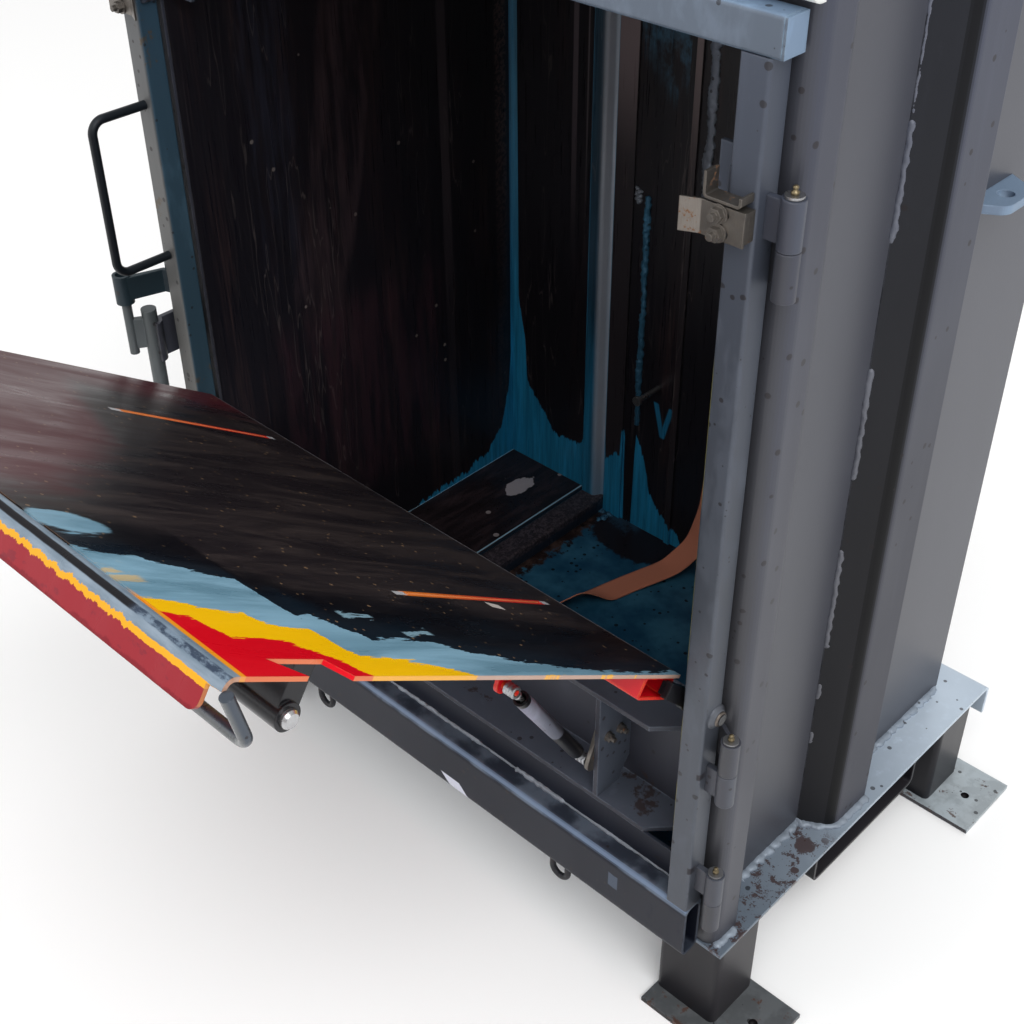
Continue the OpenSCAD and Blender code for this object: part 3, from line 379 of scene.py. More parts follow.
def patches_group():
    """Ragged patches: noise in noise, cut at a level set by how much they cover."""

    def build(t, i):
        bend = t.noise(i["Vector"], t.times(i["Scale"], 3.1), 2)
        fine = t.noise(i["Vector"], t.times(i["Scale"], 9.0), 3, 0.7)
        body = t.noise(i["Vector"], i["Scale"], 3, 0.6, 0.6)
        total = t.plus(body, t.times(t.minus(bend, 0.5), 0.35))
        total = t.plus(total, t.times(t.minus(fine, 0.5), i["Ragged"]))
        level = t.step(i["Cover"], 0.0, 1.0, 0.85, 0.2, smooth=False)
        return {"Mask": t.add("MapRange", total, level, t.plus(level, i["Softness"]), 0.0, 1.0)}

    inputs = {
        "Vector": ("Vector", None),
        "Scale": ("Float", 5.0),
        "Cover": ("Float", 0.4),
        "Softness": ("Float", 0.03),
        "Ragged": ("Float", 0.25),
    }
    return group("Baler ragged patches", inputs, {"Mask": "Float"}, build)


def specks_group():
    """Small round chips: cells of a Voronoi pattern, some of which hold a dot of their own size."""

    def build(t, i):
        made = t.tree.nodes.new("ShaderNodeTexVoronoi")
        t.put(made.inputs["Vector"], i["Vector"])
        t.put(made.inputs["Scale"], i["Scale"])
        size, chance, _ = t.parts(made.outputs["Color"])
        there = t.math("LESS_THAN", chance, i["Cover"])
        radius = t.step(size, 0.0, 1.0, 0.05, 0.32, smooth=False)
        dot = t.math("LESS_THAN", made.outputs["Distance"], radius)
        return {"Mask": t.times(there, dot)}

    inputs = {"Vector": ("Vector", None), "Scale": ("Float", 60.0), "Cover": ("Float", 0.1)}
    return group("Baler specks", inputs, {"Mask": "Float"}, build)


def specks(t, where, scale, cover):
    return use(t, specks_group(), Vector=where, Scale=scale, Cover=cover)["Mask"]


def scratches_group():
    """Fine scratches: noise drawn out along one axis, cut to thin lines, and kept only inside soft
    patches."""

    def build(t, i):
        lines = t.noise(i["Vector"], i["Scale"], 2, 0.4)
        thin = t.near(lines, 0.5, 0.004, 0.006)
        patch = t.step(t.noise(i["Vector"], t.times(i["Scale"], 0.17), 2), 0.5, 0.62)
        return {"Mask": t.times(thin, patch, i["Cover"])}

    inputs = {"Vector": ("Vector", None), "Scale": ("Float", 8.0), "Cover": ("Float", 0.5)}
    return group("Baler scratches", inputs, {"Mask": "Float"}, build)


def edges_group():
    """Worn edges: where the surface seen through a small bevel turns away from the flat one."""

    def build(t, i):
        made = t.tree.nodes.new("ShaderNodeBevel")
        made.samples = 2
        t.put(made.inputs["Radius"], i["Radius"])
        flat = t.add("NewGeometry", pick=1)
        match = t.add("VectorMath", made.outputs[0], flat, operation="DOT_PRODUCT", pick=1)
        edge = t.step(match, 0.99, 0.86)
        rough = t.noise(i["Vector"], 38.0, 3, 0.7)
        return {"Mask": t.times(edge, t.step(rough, 0.36, 0.56)), "Normal": made.outputs[0]}

    inputs = {"Vector": ("Vector", None), "Radius": ("Float", 0.003)}
    return group("Baler worn edges", inputs, {"Mask": "Float", "Normal": "Vector"}, build)


def finish(name, build, **fixed):
    """A material on a Principled shader: build returns its changing inputs, and the fixed ones are set on its
    sockets."""
    found = bpy.data.materials.get(name)
    if found:
        return found
    made = bpy.data.materials.new(name)
    made.use_nodes = True
    tree = made.node_tree
    shader = tree.nodes["Principled BSDF"]
    t = Tree(tree)
    for key, value in fixed.items():
        t.put(shader.inputs[key.replace("_", " ")], value)
    for key, value in build(t).items():
        t.put(shader.inputs[key.replace("_", " ")], value)
    return made


def enamel(name, front, side, dark=None, rough=0.36, scuff=0.3, speck=0.12, stain=None, extra=None,
           metal=0.25,
           rear_shade=0.55, shade=1.0, shine=0.35):
    """Semi-gloss paint: one tone on faces that look along Y and one on the others, which is painted light and
    shade by facing, with clouding, dark specks, scuffs and edges worn to a paler tone. Faces that tilt to the
    rear are given painted shade, darker still low down, those that tilt to the front get painted shade set by
    shade, and high places are a little bluer, a painted sky reflection."""

    def build(t):
        where = t.object()
        nx, ny, nz = t.facing()
        x, y, z = t.parts(where)
        turned = t.step(t.size_of(ny), 0.35, 0.95)
        sideways = t.step(t.size_of(nx), 0.3, 0.6)
        cloud = t.noise(t.place(where, (1, 1, 0.35)), 3.2, 3, 0.6)
        streak = t.noise(t.place(where, (9, 9, 0.8)), 4.0, 3, 0.6)
        # Painted light and shade: faces that look along Y take the front tone, the others the side tone.
        tone = t.mix(turned, side, front)
        # Painted shade on faces that tilt to the rear.
        tone = t.mix(t.times(t.step(ny, 0.2, 0.6), sideways), tone, tuple(v * rear_shade for v in side))
        # Painted shade, darker and browner towards the bottom on faces that tilt to the rear.
        sunk = t.times(t.step(ny, 0.2, 0.6), sideways, t.step(z, 0.95, 0.4, 0.0, 0.42))
        tone = t.mix(sunk, tone, t.tint(tone, (0.4, 0.36, 0.36)))
        # Painted shade on faces that tilt to the front.
        if shade < 1:
            tone = t.mix(t.times(t.step(ny, -0.2, -0.5), sideways), tone, tuple(v * shade for v in front))
        # Painted sky reflection: high places a little bluer.
        tone = t.mix(t.step(z, 0.7, 1.7, 0.0, 0.45), tone, t.tint(tone, (0.98, 1.12, 1.45)))
        tone = t.mix(t.step(cloud, 0.3, 0.72, 0.0, 0.5), tone, t.tint(tone, dark or (0.66, 0.62, 0.6)))
        tone = t.mix(t.step(streak, 0.5, 0.8, 0.0, 0.22), tone, t.tint(tone, (1.5, 1.5, 1.5)))
        pale = t.tint(tone, (1.7, 1.7, 1.7))
        scuffs = use(t, patches_group(), Vector=t.place(where, (1, 1, 0.4)), Scale=14.0, Cover=scuff,
                     Softness=0.12)
        tone = t.mix(t.times(scuffs["Mask"], 0.35), tone, pale)
        dots = specks(t, where, 75.0, speck)
        tone = t.mix(t.times(dots, 0.75), tone, linear(38, 34, 36))
        worn = use(t, edges_group(), Vector=where, Radius=0.0025)
        tone = t.mix(t.times(worn["Mask"], 0.6), tone, tuple(min(1, v * 2.0 + 0.04) for v in side))
        if stain:
            marks = use(t, patches_group(), Vector=where, Scale=9.0, Cover=0.24, Softness=0.05, Ragged=0.5)
            tone = t.mix(t.times(marks["Mask"], 0.8), tone, stain)
        if extra:
            tone = extra(t, where, tone)
        grain = t.noise(where, 420.0, 1, 0.6)
        gloss = t.plus(t.step(cloud, 0.2, 0.8, rough - 0.05, rough + 0.13), t.times(scuffs["Mask"], 0.12))
        return {"Base_Color": tone, "Roughness": gloss, "Normal": t.bump(grain, 0.12, 0.0006, worn["Normal"])}

    return finish(name, build, Metallic=metal, Specular_IOR_Level=shine)


def steel(name, tone, rough=0.32, rust=0.0, metal=0.9, grain_scale=(40, 40, 4), rust_tone=linear(96, 58, 38)):
    """Bare or zinc-plated steel: a drawn grain, cloudy tarnish and, where asked, ragged rust."""

    def build(t):
        where = t.object()
        grain = t.noise(t.place(where, grain_scale), 30.0, 2, 0.6)
        cloud = t.noise(where, 22.0, 3, 0.65)
        colour = t.mix(t.step(cloud, 0.35, 0.75), tone, tuple(v * 0.62 for v in tone))
        colour = t.mix(t.step(grain, 0.4, 0.75, 0.0, 0.35), colour, tuple(min(1, v * 1.35) for v in tone))
        worn = use(t, edges_group(), Vector=where, Radius=0.0012)
        colour = t.mix(t.times(worn["Mask"], 0.5), colour, tuple(min(1, v * 1.5) for v in tone))
        spots = use(t, patches_group(), Vector=where, Scale=26.0, Cover=rust, Softness=0.06, Ragged=0.6)
        colour = t.mix(spots["Mask"], colour, rust_tone)
        gloss = t.most(t.step(cloud, 0.2, 0.8, rough, rough + 0.2), t.times(spots["Mask"], 0.8))
        shine = t.step(spots["Mask"], 0.0, 1.0, metal, 0.05)
        return {
            "Base_Color": colour,
            "Roughness": gloss,
            "Metallic": shine,
            "Normal": t.bump(grain, 0.15, 0.0004, worn["Normal"]),
        }

    return finish(name, build)


# Settings


class BalerStageSettings(bpy.types.PropertyGroup):
    """The floor, the lamps and the camera."""

    floor_colour: bpy.props.FloatVectorProperty(
        name="Floor colour", description="Colour of the studio floor", subtype="COLOR", size=3,
        default=linear(255, 255, 255), min=0, max=1)
    sky: bpy.props.FloatProperty(
        name="Sky", description="Strength of the even light from all round", default=0.88, min=0, max=3)
    lamp: bpy.props.FloatProperty(
        name="Lamp", description="Power of the large soft lamp", default=215, min=0, max=2000, unit="POWER")
    lens: bpy.props.FloatProperty(
        name="Lens", description="Focal length in millimetres", default=51.52, min=20, max=200)


class BalerPaintSettings(bpy.types.PropertyGroup):
    """The main paints."""

    # The two greys are one outside paint, lighter to the side and darker to the front: painted light and shade
    # by facing.
    grey: bpy.props.FloatVectorProperty(
        name="Grey", description="Outside paint on faces to the side", subtype="COLOR", size=3,
        default=linear(68, 70, 79), min=0, max=1)
    grey_front_shade: bpy.props.FloatVectorProperty(
        name="Grey front", description="Outside paint on faces to the front", subtype="COLOR", size=3,
        default=linear(66, 67, 72), min=0, max=1)
    pale: bpy.props.FloatVectorProperty(
        name="Pale", description="Light blue-grey paint of the base plate and the top bar", subtype="COLOR",
                                        size=3,
        default=linear(150, 163, 178), min=0, max=1)
    black: bpy.props.FloatVectorProperty(
        name="Black", description="Worn paint inside the chamber", subtype="COLOR", size=3,
        default=linear(24, 22, 28), min=0, max=1)
    blue: bpy.props.FloatVectorProperty(
        name="Blue", description="Blue paint left in the chamber's corners", subtype="COLOR", size=3,
        default=linear(62, 136, 172), min=0, max=1)
    red: bpy.props.FloatVectorProperty(
        name="Red", description="Red of the flap's lip and stiffener", subtype="COLOR", size=3,
        default=linear(212, 12, 30), min=0, max=1)
    yellow: bpy.props.FloatVectorProperty(
        name="Yellow", description="Yellow under the flap's red", subtype="COLOR", size=3,
        default=linear(246, 190, 8), min=0, max=1)
    webbing: bpy.props.FloatVectorProperty(
        name="Webbing", description="Eject strap", subtype="COLOR", size=3,
        default=linear(252, 50, 30), min=0, max=1)


class BalerWeldSettings(bpy.types.PropertyGroup):
    """The weld beads."""

    width: bpy.props.FloatProperty(
        name="Width", description="Width of a main bead", default=0.011, min=0.004, max=0.02, unit="LENGTH")
    pitch: bpy.props.FloatProperty(
        name="Pitch", description="Distance between the ripples", default=0.0045, min=0.002, max=0.01,
                                   unit="LENGTH")


# Materials of the frame, the door and the flap


def painted(*names):
    """Gives one finish to several CAD nodes."""

    def give(material):
        for name in names:
            for slot in NODES[name].material_slots:
                slot.material = material

    return give


def inside_mask(t, where):
    """1 on faces inside the chamber, from where they lie."""
    x, y, z = t.parts(where)
    wide = t.math("LESS_THAN", t.size_of(x), WALL_IN + 0.0004)
    deep = t.math("LESS_THAN", y, BACK_Y + 0.0004)
    behind = t.math("GREATER_THAN", y, FRONT_Y - 0.001)
    high = t.math("GREATER_THAN", z, BASE_TOP - 0.0004)
    return t.times(wide, deep, behind, high)


def drips(t, where, size=0.035):
    """A ragged offset for painted borders: fine across, drawn out from top to bottom."""
    fine = t.noise(t.place(where, (1, 1, 0.03)), 130.0, 4, 0.7)
    broad = t.noise(t.place(where, (1, 1, 0.06)), 28.0, 3, 0.6)
    both = t.plus(t.times(fine, 0.6), t.times(broad, 0.4))
    return t.times(t.minus(both, 0.5), size * 2)


def worn_black(t, where):
    """The chamber's worn black: brownish smears, rubbed streaks, fine scratches and a few pale chips."""
    black = tuple(bpy.context.scene.baler_paint.black)
    scrub = t.noise(t.place(where, (60, 60, 1.2)), 6.0, 3, 0.6)
    brown = t.step(t.noise(t.place(where, (7, 7, 0.8)), 2.4, 4, 0.65), 0.46, 0.75)
    tone = t.mix(t.times(brown, t.step(scrub, 0.35, 0.7)), black, linear(58, 42, 42))
    tone = t.mix(t.step(scrub, 0.62, 0.85, 0.0, 0.5), tone, linear(66, 58, 62))
    lines = use(t, scratches_group(), Vector=t.place(where, (6, 6, 0.5)), Scale=9.0, Cover=0.3)["Mask"]
    tone = t.mix(lines, tone, linear(110, 100, 98))
    chips = specks(t, where, 58.0, 0.014)
    return t.mix(chips, tone, linear(112, 104, 100)), scrub


def bared_blue(t, where):
    """The blue under the black, lighter where it was rubbed and greener low down."""
    blue = tuple(bpy.context.scene.baler_paint.blue)
    rub = t.noise(t.place(where, (20, 20, 1)), 5.0, 3, 0.65)
    tone = t.mix(t.step(rub, 0.35, 0.7), tuple(v * 0.75 for v in blue), tuple(min(1, v * 1.3) for v in blue))
    high = t.step(t.parts(where)[2], 0.4, 1.1)
    return t.mix(high, t.tint(tone, (0.35, 0.9, 1.0)), t.mix(0.3, tone, linear(108, 130, 150)))


def wall_paint(name, inner):
    """A wall's finish: what inner returns inside the chamber and grey paint outside."""
    outer = tuple(bpy.context.scene.baler_paint.grey)

    def build(t):
        where = t.object()
        tone, scrub = worn_black(t, where)
        tone = inner(t, where, tone)
        cloud = t.noise(t.place(where, (1, 1, 0.3)), 2.6, 3, 0.6)
        outside = t.mix(t.step(cloud, 0.3, 0.75), outer, tuple(v * 0.7 for v in outer))
        inside = inside_mask(t, where)
        worn = use(t, edges_group(), Vector=where, Radius=0.002)
        tone = t.mix(t.times(worn["Mask"], 0.25), tone, linear(130, 122, 120))
        colour = t.mix(inside, outside, tone)
        rough = t.step(inside, 0.0, 1.0, 0.38, t.step(scrub, 0.2, 0.8, 0.24, 0.5), smooth=False)
        grain = t.noise(t.place(where, (60, 60, 6)), 12.0, 1)
        return {"Base_Color": colour, "Roughness": rough,
                "Normal": t.bump(grain, 0.1, 0.0008, worn["Normal"])}

    return finish(name, build, Metallic=0.1)


# Borders of the flap's colours: places across it by how far out they lie from its hinge
BLUE_EDGE = ((0.2, 0.462), (0.344, 0.436), (0.393, 0.423), (0.447, 0.396), (0.486, 0.391), (0.535, 0.394),
             (0.56, 0.364),
             (0.575, 0.342), (0.597, 0.352), (0.604, 0.32), (0.61, 0.272), (0.634, 0.261), (0.662, 0.251),
             (0.684, 0.246), (0.702, 0.232), (0.726, 0.228), (0.772, 0.219))
GOLD_EDGE = ((0.45, 0.475), (0.482, 0.455), (0.514, 0.443), (0.548, 0.435), (0.586, 0.429), (0.596, 0.418),
             (0.601, 0.39), (0.606, 0.375), (0.643, 0.373), (0.66, 0.362), (0.666, 0.347), (0.69, 0.343),
             (0.714, 0.340), (0.728, 0.328), (0.753, 0.324), (0.776, 0.322))
RUBY_EDGE = ((0.58, 0.49), (0.606, 0.476), (0.615, 0.462), (0.622, 0.444), (0.632, 0.432), (0.64, 0.426),
             (0.652, 0.413), (0.667, 0.402), (0.69, 0.399), (0.725, 0.398), (0.735, 0.378), (0.74, 0.362),
             (0.756, 0.359), (0.768, 0.345), (0.779, 0.335))

# Heights up to which blue shows: along the side walls, and along the back wall from its corner to its middle
SIDE_BLUE = ((-0.34, 0.172), (0.05, 0.185), (0.073, 0.198), (0.129, 0.212), (0.205, 0.211), (0.225, 0.223),
             (0.271, 0.234), (0.305, 0.283), (0.325, 0.354), (0.332, 0.429), (0.3352, 2.0), (0.337, 2.0))
BACK_BLUE = ((-0.491, 2.0), (-0.4765, 2.0), (-0.4745, 0.56), (-0.463, 0.5), (-0.4565, 0.47), (-0.452, 0.391),
             (-0.434, 0.357), (-0.403, 0.328), (-0.385, 0.299), (-0.366, 0.291), (-0.331, 0.297), (-0.307,
                                                                                                   0.302),
             (-0.293, 0.335), (-0.289, 0.410),
             (-0.287, 2.0), (-0.2455, 2.0), (-0.2435, 0.297), (-0.207, 0.323), (-0.205, 0.386), (-0.199,
                                                                                                 0.362),
             (-0.196, 0.17), (-0.176, 0.17), (-0.174, 0.384), (-0.152, 0.338), (-0.134, 0.263), (-0.103,
                                                                                                 0.225),
             (-0.063, 0.202), (-0.05, 0.176), (0.0, 0.172))
BLUE_PATCH = ((-0.2035, 2.0), (-0.2025, 1.085), (-0.172, 1.066), (-0.15, 1.05), (-0.127, 1.022),
              (-0.115, 1.06),
              (-0.1035, 1.058), (-0.1025, 2.0))


def side_inner(t, where, tone):
    """A side wall from inside: blue at the corner and along the floor, and two upright brownish streaks."""
    x, y, z = t.parts(where)
    top = t.plus(t.curve(y, SIDE_BLUE), drips(t, where))
    sway = t.times(t.swing(t.place(where, (1, 1, 0.25)), 5.0, 3, 0.65), 0.12)
    swayed = t.plus(y, sway)
    streak = t.step(t.noise(t.place(where, (1, 14, 1.5)), 3.0, 4, 0.7), 0.36, 0.66)
    cool = t.times(t.between(swayed, -0.225, -0.15, 0.02), t.step(z, 0.7, 0.95), streak, 0.3)
    tone = t.mix(cool, tone, linear(58, 62, 80))
    drift = t.plus(swayed, t.times(t.minus(1.17, z), 0.22))
    tone = t.mix(t.times(t.between(drift, -0.07, 0.03, 0.015), t.step(z, 0.6, 0.85), streak, 0.36), tone,
                 linear(86, 68, 72))
    ruddy = t.times(t.between(swayed, -0.2, 0.14, 0.05), t.between(z, 0.36, 0.66, 0.08))
    tone = t.mix(t.times(ruddy, streak, 0.38), tone, linear(72, 44, 52))
    rows = t.noise(t.place(where, (0.2, 1, 1)), 160.0, 2)
    fade = t.step(z, 0.55, 1.0, 0.25, 1.0)
    tone = t.mix(t.times(t.between(y, 0.300, 0.322, 0.006), t.step(rows, 0.4, 0.6), fade, 0.8), tone,
                 linear(84, 66, 64))
    tone = t.mix(t.times(t.between(y, 0.166, 0.182, 0.004), fade, 0.7), tone, linear(70, 62, 66))
    return t.mix(t.step(t.minus(top, z), 0.0, 0.003), tone, bared_blue(t, where))


def back_inner(t, where, tone):
    """The back wall from inside: blue at the corner, on the guide and in two arcs on the floor, a blue patch
    at the top, brown strips that fade downwards, a painted highlight along the guide's rounded edge and a small
    drip under the peg."""
    x, y, z = t.parts(where)
    a = t.times(t.size_of(x), -1.0)
    ragged = drips(t, where)
    blue = bared_blue(t, where)
    fade = t.step(z, 0.88, 1.14, 0.05, 0.7)
    tone = t.mix(t.times(t.between(a, -0.2435, -0.204, 0.001), fade), tone, linear(150, 134, 136))
    tone = t.mix(t.times(t.between(a, -0.0905, -0.079, 0.001), fade), tone, linear(140, 124, 124))
    long_fade = t.step(z, 0.65, 1.15, 0.0, 0.6)
    tone = t.mix(t.times(t.between(a, -0.345, -0.336, 0.002), long_fade), tone, linear(112, 100, 106))
    tone = t.mix(t.times(t.between(a, -0.313, -0.311, 0.001), long_fade), tone, linear(120, 112, 116))
    top = t.plus(t.curve(a, BACK_BLUE), ragged)
    arcs = t.step(t.minus(top, z), 0.0, 0.003)
    patch = t.step(t.minus(z, t.plus(t.curve(a, BLUE_PATCH), t.times(ragged, 2.6))), -0.02, 0.06)
    guide = t.between(a, -0.286, -0.254, 0.002)
    arcs = t.times(arcs, t.minus(1.0, t.times(guide, t.step(z, 0.4, 0.65, 0.3, 0.82))))
    blot = t.noise(t.place(where, (1, 1, 0.5)), 26.0, 4, 0.7)
    tone = t.mix(t.times(patch, t.step(blot, 0.35, 0.6, 0.0, 0.5)), tone, blue)
    tone = t.mix(arcs, tone, blue)
    arm = t.minus(t.size_of(t.plus(x, 0.113)), t.times(t.minus(z, 0.4), 0.26))
    drop = t.times(t.near(arm, 0.0, 0.004, 0.003), t.between(z, 0.4, 0.466, 0.004))
    tone = t.mix(t.times(drop, 0.7), tone, blue)
    # Painted highlight along the guide's rounded edge.
    ridge_highlight = t.times(t.step(a, -0.272, -0.256), t.step(a, -0.2465, -0.2485))
    ridge_highlight = t.times(ridge_highlight, t.step(z, 0.17, 0.4, 0.4, 0.85))
    return t.mix(ridge_highlight, tone, linear(168, 172, 182))


def floor_inner(t, where, tone):
    """The chamber's floor: worn blue with black specks, brown blotches beside the bar and a dark patch at the
    back."""
    x, y, z = t.parts(where)
    ragged = t.times(t.swing(where, 60.0, 4, 0.7), 0.09)
    blue = t.mix(t.step(t.noise(where, 9.0, 4, 0.65), 0.35, 0.7), linear(26, 74, 104), linear(62, 118, 146))
    brown = t.mix(t.step(t.noise(where, 30.0, 4, 0.7), 0.4, 0.65), linear(40, 30, 30), linear(82, 64, 58))
    beside = t.step(t.plus(x, ragged), -0.215, -0.228)
    away = t.oval(x, y, (-0.135, 0.30), (0.1, 0.058))
    dark = t.step(t.plus(away, t.times(ragged, 6.0)), 1.05, 0.9)
    floor = t.mix(beside, blue, brown)
    floor = t.mix(dark, floor, linear(34, 26, 30))
    rear = t.step(t.plus(y, t.times(ragged, 1.5)), 0.30, 0.335)
    floor = t.mix(t.times(rear, t.between(x, -0.24, -0.16, 0.02)), floor, linear(48, 70, 88))
    dots = specks(t, where, 80.0, 0.4)
    return t.mix(t.times(dots, 0.9), floor, linear(10, 12, 16))


def step_inner(t, where, tone):
    """The raised floor and its bar: dark brown with a bare grey patch, pale long edges and a brown-grey
    bar."""
    x, y, z = t.parts(where)
    rub = t.noise(t.place(where, (12, 2, 1)), 6.0, 4, 0.65)
    brown = t.mix(t.step(rub, 0.4, 0.7), linear(30, 24, 27), linear(54, 43, 46))
    chips = specks(t, where, 48.0, 0.12)
    brown = t.mix(chips, brown, linear(150, 140, 140))
    wobble = t.times(t.swing(where, 45.0, 4, 0.6), 0.9)
    away = t.oval(x, y, (-0.392, 0.250), (0.021, 0.035))
    bare = t.step(t.plus(away, wobble), 1.06, 0.98)
    brown = t.mix(bare, brown, linear(176, 168, 172))
    speckle = t.mix(t.step(t.noise(where, 190.0, 3, 0.7), 0.45, 0.6), linear(44, 39, 44), linear(80, 72, 78))
    bar = t.mix(t.step(x, -0.2885, -0.2865), linear(18, 30, 42), speckle)
    brown = t.mix(t.step(x, -0.2995, -0.2985), brown, bar)
    low = t.step(z, 0.192, 0.186)
    brown = t.mix(t.times(low, 0.8), brown, linear(20, 40, 56))
    edge = t.most(t.near(x, -0.3035, 0.0012, 0.0008), t.step(x, -0.4893, -0.4898))
    return t.mix(t.times(edge, t.step(z, 0.189, 0.192)), brown, linear(150, 186, 206))


class BALER_OT_stage(bpy.types.Operator):
    """Make the floor, the soft light and the camera"""

    bl_idname = "baler.stage"
    bl_label = "Stage"

    def execute(self, context):
        settings = context.scene.baler_stage
        scene = context.scene
        scene.view_settings.view_transform = "Standard"
        mesh = bpy.data.meshes.new("studio_floor")
        corners = np.array([[-1, -1, 0], [1, -1, 0], [1, 1, 0], [-1, 1, 0]]) * FLOOR_HALF
        mesh.from_pydata((corners - [0, 0, FLOOR_DROP]).tolist(), [], [[0, 1, 2, 3]])
        floor = bpy.data.objects.new("studio_floor", mesh)
        scene.collection.objects.link(floor)
        mesh.materials.append(
            finish("studio floor", lambda t: {"Base_Color": tuple(settings.floor_colour)}, Roughness=0.9,
                   Specular_IOR_Level=0.1))
        world = bpy.data.worlds.new("studio")
        scene.world = world
        world.use_nodes = True
        sky = world.node_tree.nodes["Background"]
        t = Tree(world.node_tree)
        height = t.parts(t.add("TexCoord", pick=0))[2]
        shade = t.mix(t.step(height, -0.1, 0.9), linear(214, 212, 210), linear(255, 255, 255))
        t.put(sky.inputs["Color"], shade)
        sky.inputs["Strength"].default_value = settings.sky
        for name, (place, size, share) in LAMPS.items():
            light = bpy.data.lights.new(name, "AREA")
            light.size, light.energy = size, settings.lamp * share
            lamp = bpy.data.objects.new(name, light)
            lamp.location = place
            lamp.rotation_euler = (Vector((0, 0, 0.8)) - Vector(place)).to_track_quat("-Z", "Y").to_euler()
            scene.collection.objects.link(lamp)
        yaw, pitch, roll = np.array(CAMERA_TURN) * DEGREE
        ahead = np.array([np.sin(yaw) * np.cos(pitch), np.cos(yaw) * np.cos(pitch), -np.sin(pitch)])
        right = np.array([np.cos(yaw), -np.sin(yaw), 0])
        down = np.cross(ahead, right)
        across = np.cos(roll) * right + np.sin(roll) * down
        below = -np.sin(roll) * right + np.cos(roll) * down
        data = bpy.data.cameras.new("camera")
        data.sensor_width, data.lens, data.clip_end = SENSOR, settings.lens, 200
        camera = bpy.data.objects.new("camera", data)
        camera.matrix_world = Matrix.Translation(CAMERA_PLACE) @ Matrix(
            np.stack([across, -below, -ahead], 1).tolist()).to_4x4()
        scene.collection.objects.link(camera)
        scene.camera = camera
        return {"FINISHED"}


class BALER_OT_outside(bpy.types.Operator):
    """Paint the columns, ribs, legs, base and head"""

    bl_idname = "baler.outside"
    bl_label = "Outside paint"

    def execute(self, context):
        paint = context.scene.baler_paint
        # The front and side greys: painted light and shade by facing, as in the enamel.
        grey, front, pale = tuple(paint.grey), tuple(paint.grey_front_shade), tuple(paint.pale)
        painted("front_column_right", "front_column_left", "back_ribs", "head_plate", "power_tank",
                "bolt_guide",
                "frame_knuckles")(enamel("grey enamel", front, grey, rear_shade=0.62))
        painted("lashing_eyes")(enamel("eye enamel", linear(112, 128, 146), linear(124, 144, 164)))
        painted("fork_channel", "front_legs")(
            enamel("leg enamel", linear(26, 25, 30), linear(44, 42, 46), scuff=0.25, speck=0.2))
        painted("rear_legs")(
            enamel("rear leg enamel", linear(18, 18, 24), linear(30, 29, 34), scuff=0.25, speck=0.2))
        painted("side_rib_right", "side_rib_left")(enamel("rib enamel", front, grey, shade=0.12, shine=0.12,
                                                          metal=0.0))

        def base_extra(t, where, tone):
            """The chamber's floor is worn blue, and the outside has brown stains near the right front corner
            and is painted darker to the front and lighter to the rear, a painted reflection."""
            inside = inside_mask(t, where)
            x, y, z = t.parts(where)
            floor = floor_inner(t, where, None)
            marks = use(t, patches_group(), Vector=where, Scale=42.0, Cover=0.46, Softness=0.05,
                        Ragged=0.6)["Mask"]
            wave = t.times(t.swing(where, 70.0, 4, 0.65), 1.5)
            for at, size in (((0.5328, -0.1005), 0.016), ((0.5505, -0.1508), 0.006),
                             ((0.5518, -0.0725), 0.006)):
                away = t.oval(x, y, at, (size, size))
                marks = t.most(marks, t.step(t.plus(away, wave), 1.1, 0.9))
            front = t.times(t.step(y, -0.04, -0.09), t.step(x, 0.3, 0.5))
            # Painted reflection: the outside darker to the front and lighter to the rear.
            tone = t.mix(t.step(y, -0.34, 0.3), t.tint(tone, (0.5, 0.52, 0.53)),
                         t.tint(tone, (1.75, 1.7, 1.62)))
            tone = t.mix(t.times(marks, front, 0.85), tone, linear(66, 44, 40))
            return t.mix(inside, tone, floor)

        def foot_extra(t, where, tone):
            """The front feet are darker, and all have rust along their edges."""
            x, y, z = t.parts(where)
            tone = t.mix(t.step(y, 0.2, -0.2), tone, t.tint(tone, (0.28, 0.27, 0.27)))
            rust = use(t, patches_group(), Vector=where, Scale=22.0, Cover=0.34, Softness=0.08,
                       Ragged=0.6)["Mask"]
            return t.mix(t.times(rust, 0.85), tone, linear(84, 58, 48))

        painted("base_plate")(enamel("base enamel", pale, pale, dark=(0.6, 0.62, 0.66), rough=0.3, speck=0.2,
                                     extra=base_extra))
        painted("foot_plates")(enamel("foot steel", linear(56, 54, 58), linear(160, 170, 176), scuff=0.6,
                                      rough=0.32,
                                      dark=(0.7, 0.62, 0.58), speck=0.3, extra=foot_extra))
        painted("head_cover")(enamel("cream enamel", linear(214, 210, 196), linear(220, 217, 204), rough=0.3,
                                     dark=(0.8, 0.8, 0.78), speck=0.03, metal=0.0))
        painted("press_cylinder", "power_motor", "control_box", "press_plate")(
            enamel("dark enamel", linear(52, 56, 62), linear(60, 64, 72), rough=0.4))
        painted("head_bolts", "press_rod", "cylinder_gland", "hinge_pins", "strap_peg")(
            steel("bare steel", linear(150, 150, 152), 0.22))
        for node, tone in (("start_button", (20, 130, 60)), ("return_button", (20, 20, 22)),
                           ("emergency_stop", (190, 16, 20))):
            painted(node)(finish(node + " plastic", lambda t, tone=tone: {
                "Base_Color": t.mix(t.step(t.noise(t.object(), 60.0), 0.4, 0.8, 0.0, 0.2), linear(*tone),
                                    tuple(v * 0.6 for v in linear(*tone)))}, Roughness=0.3))
        return {"FINISHED"}


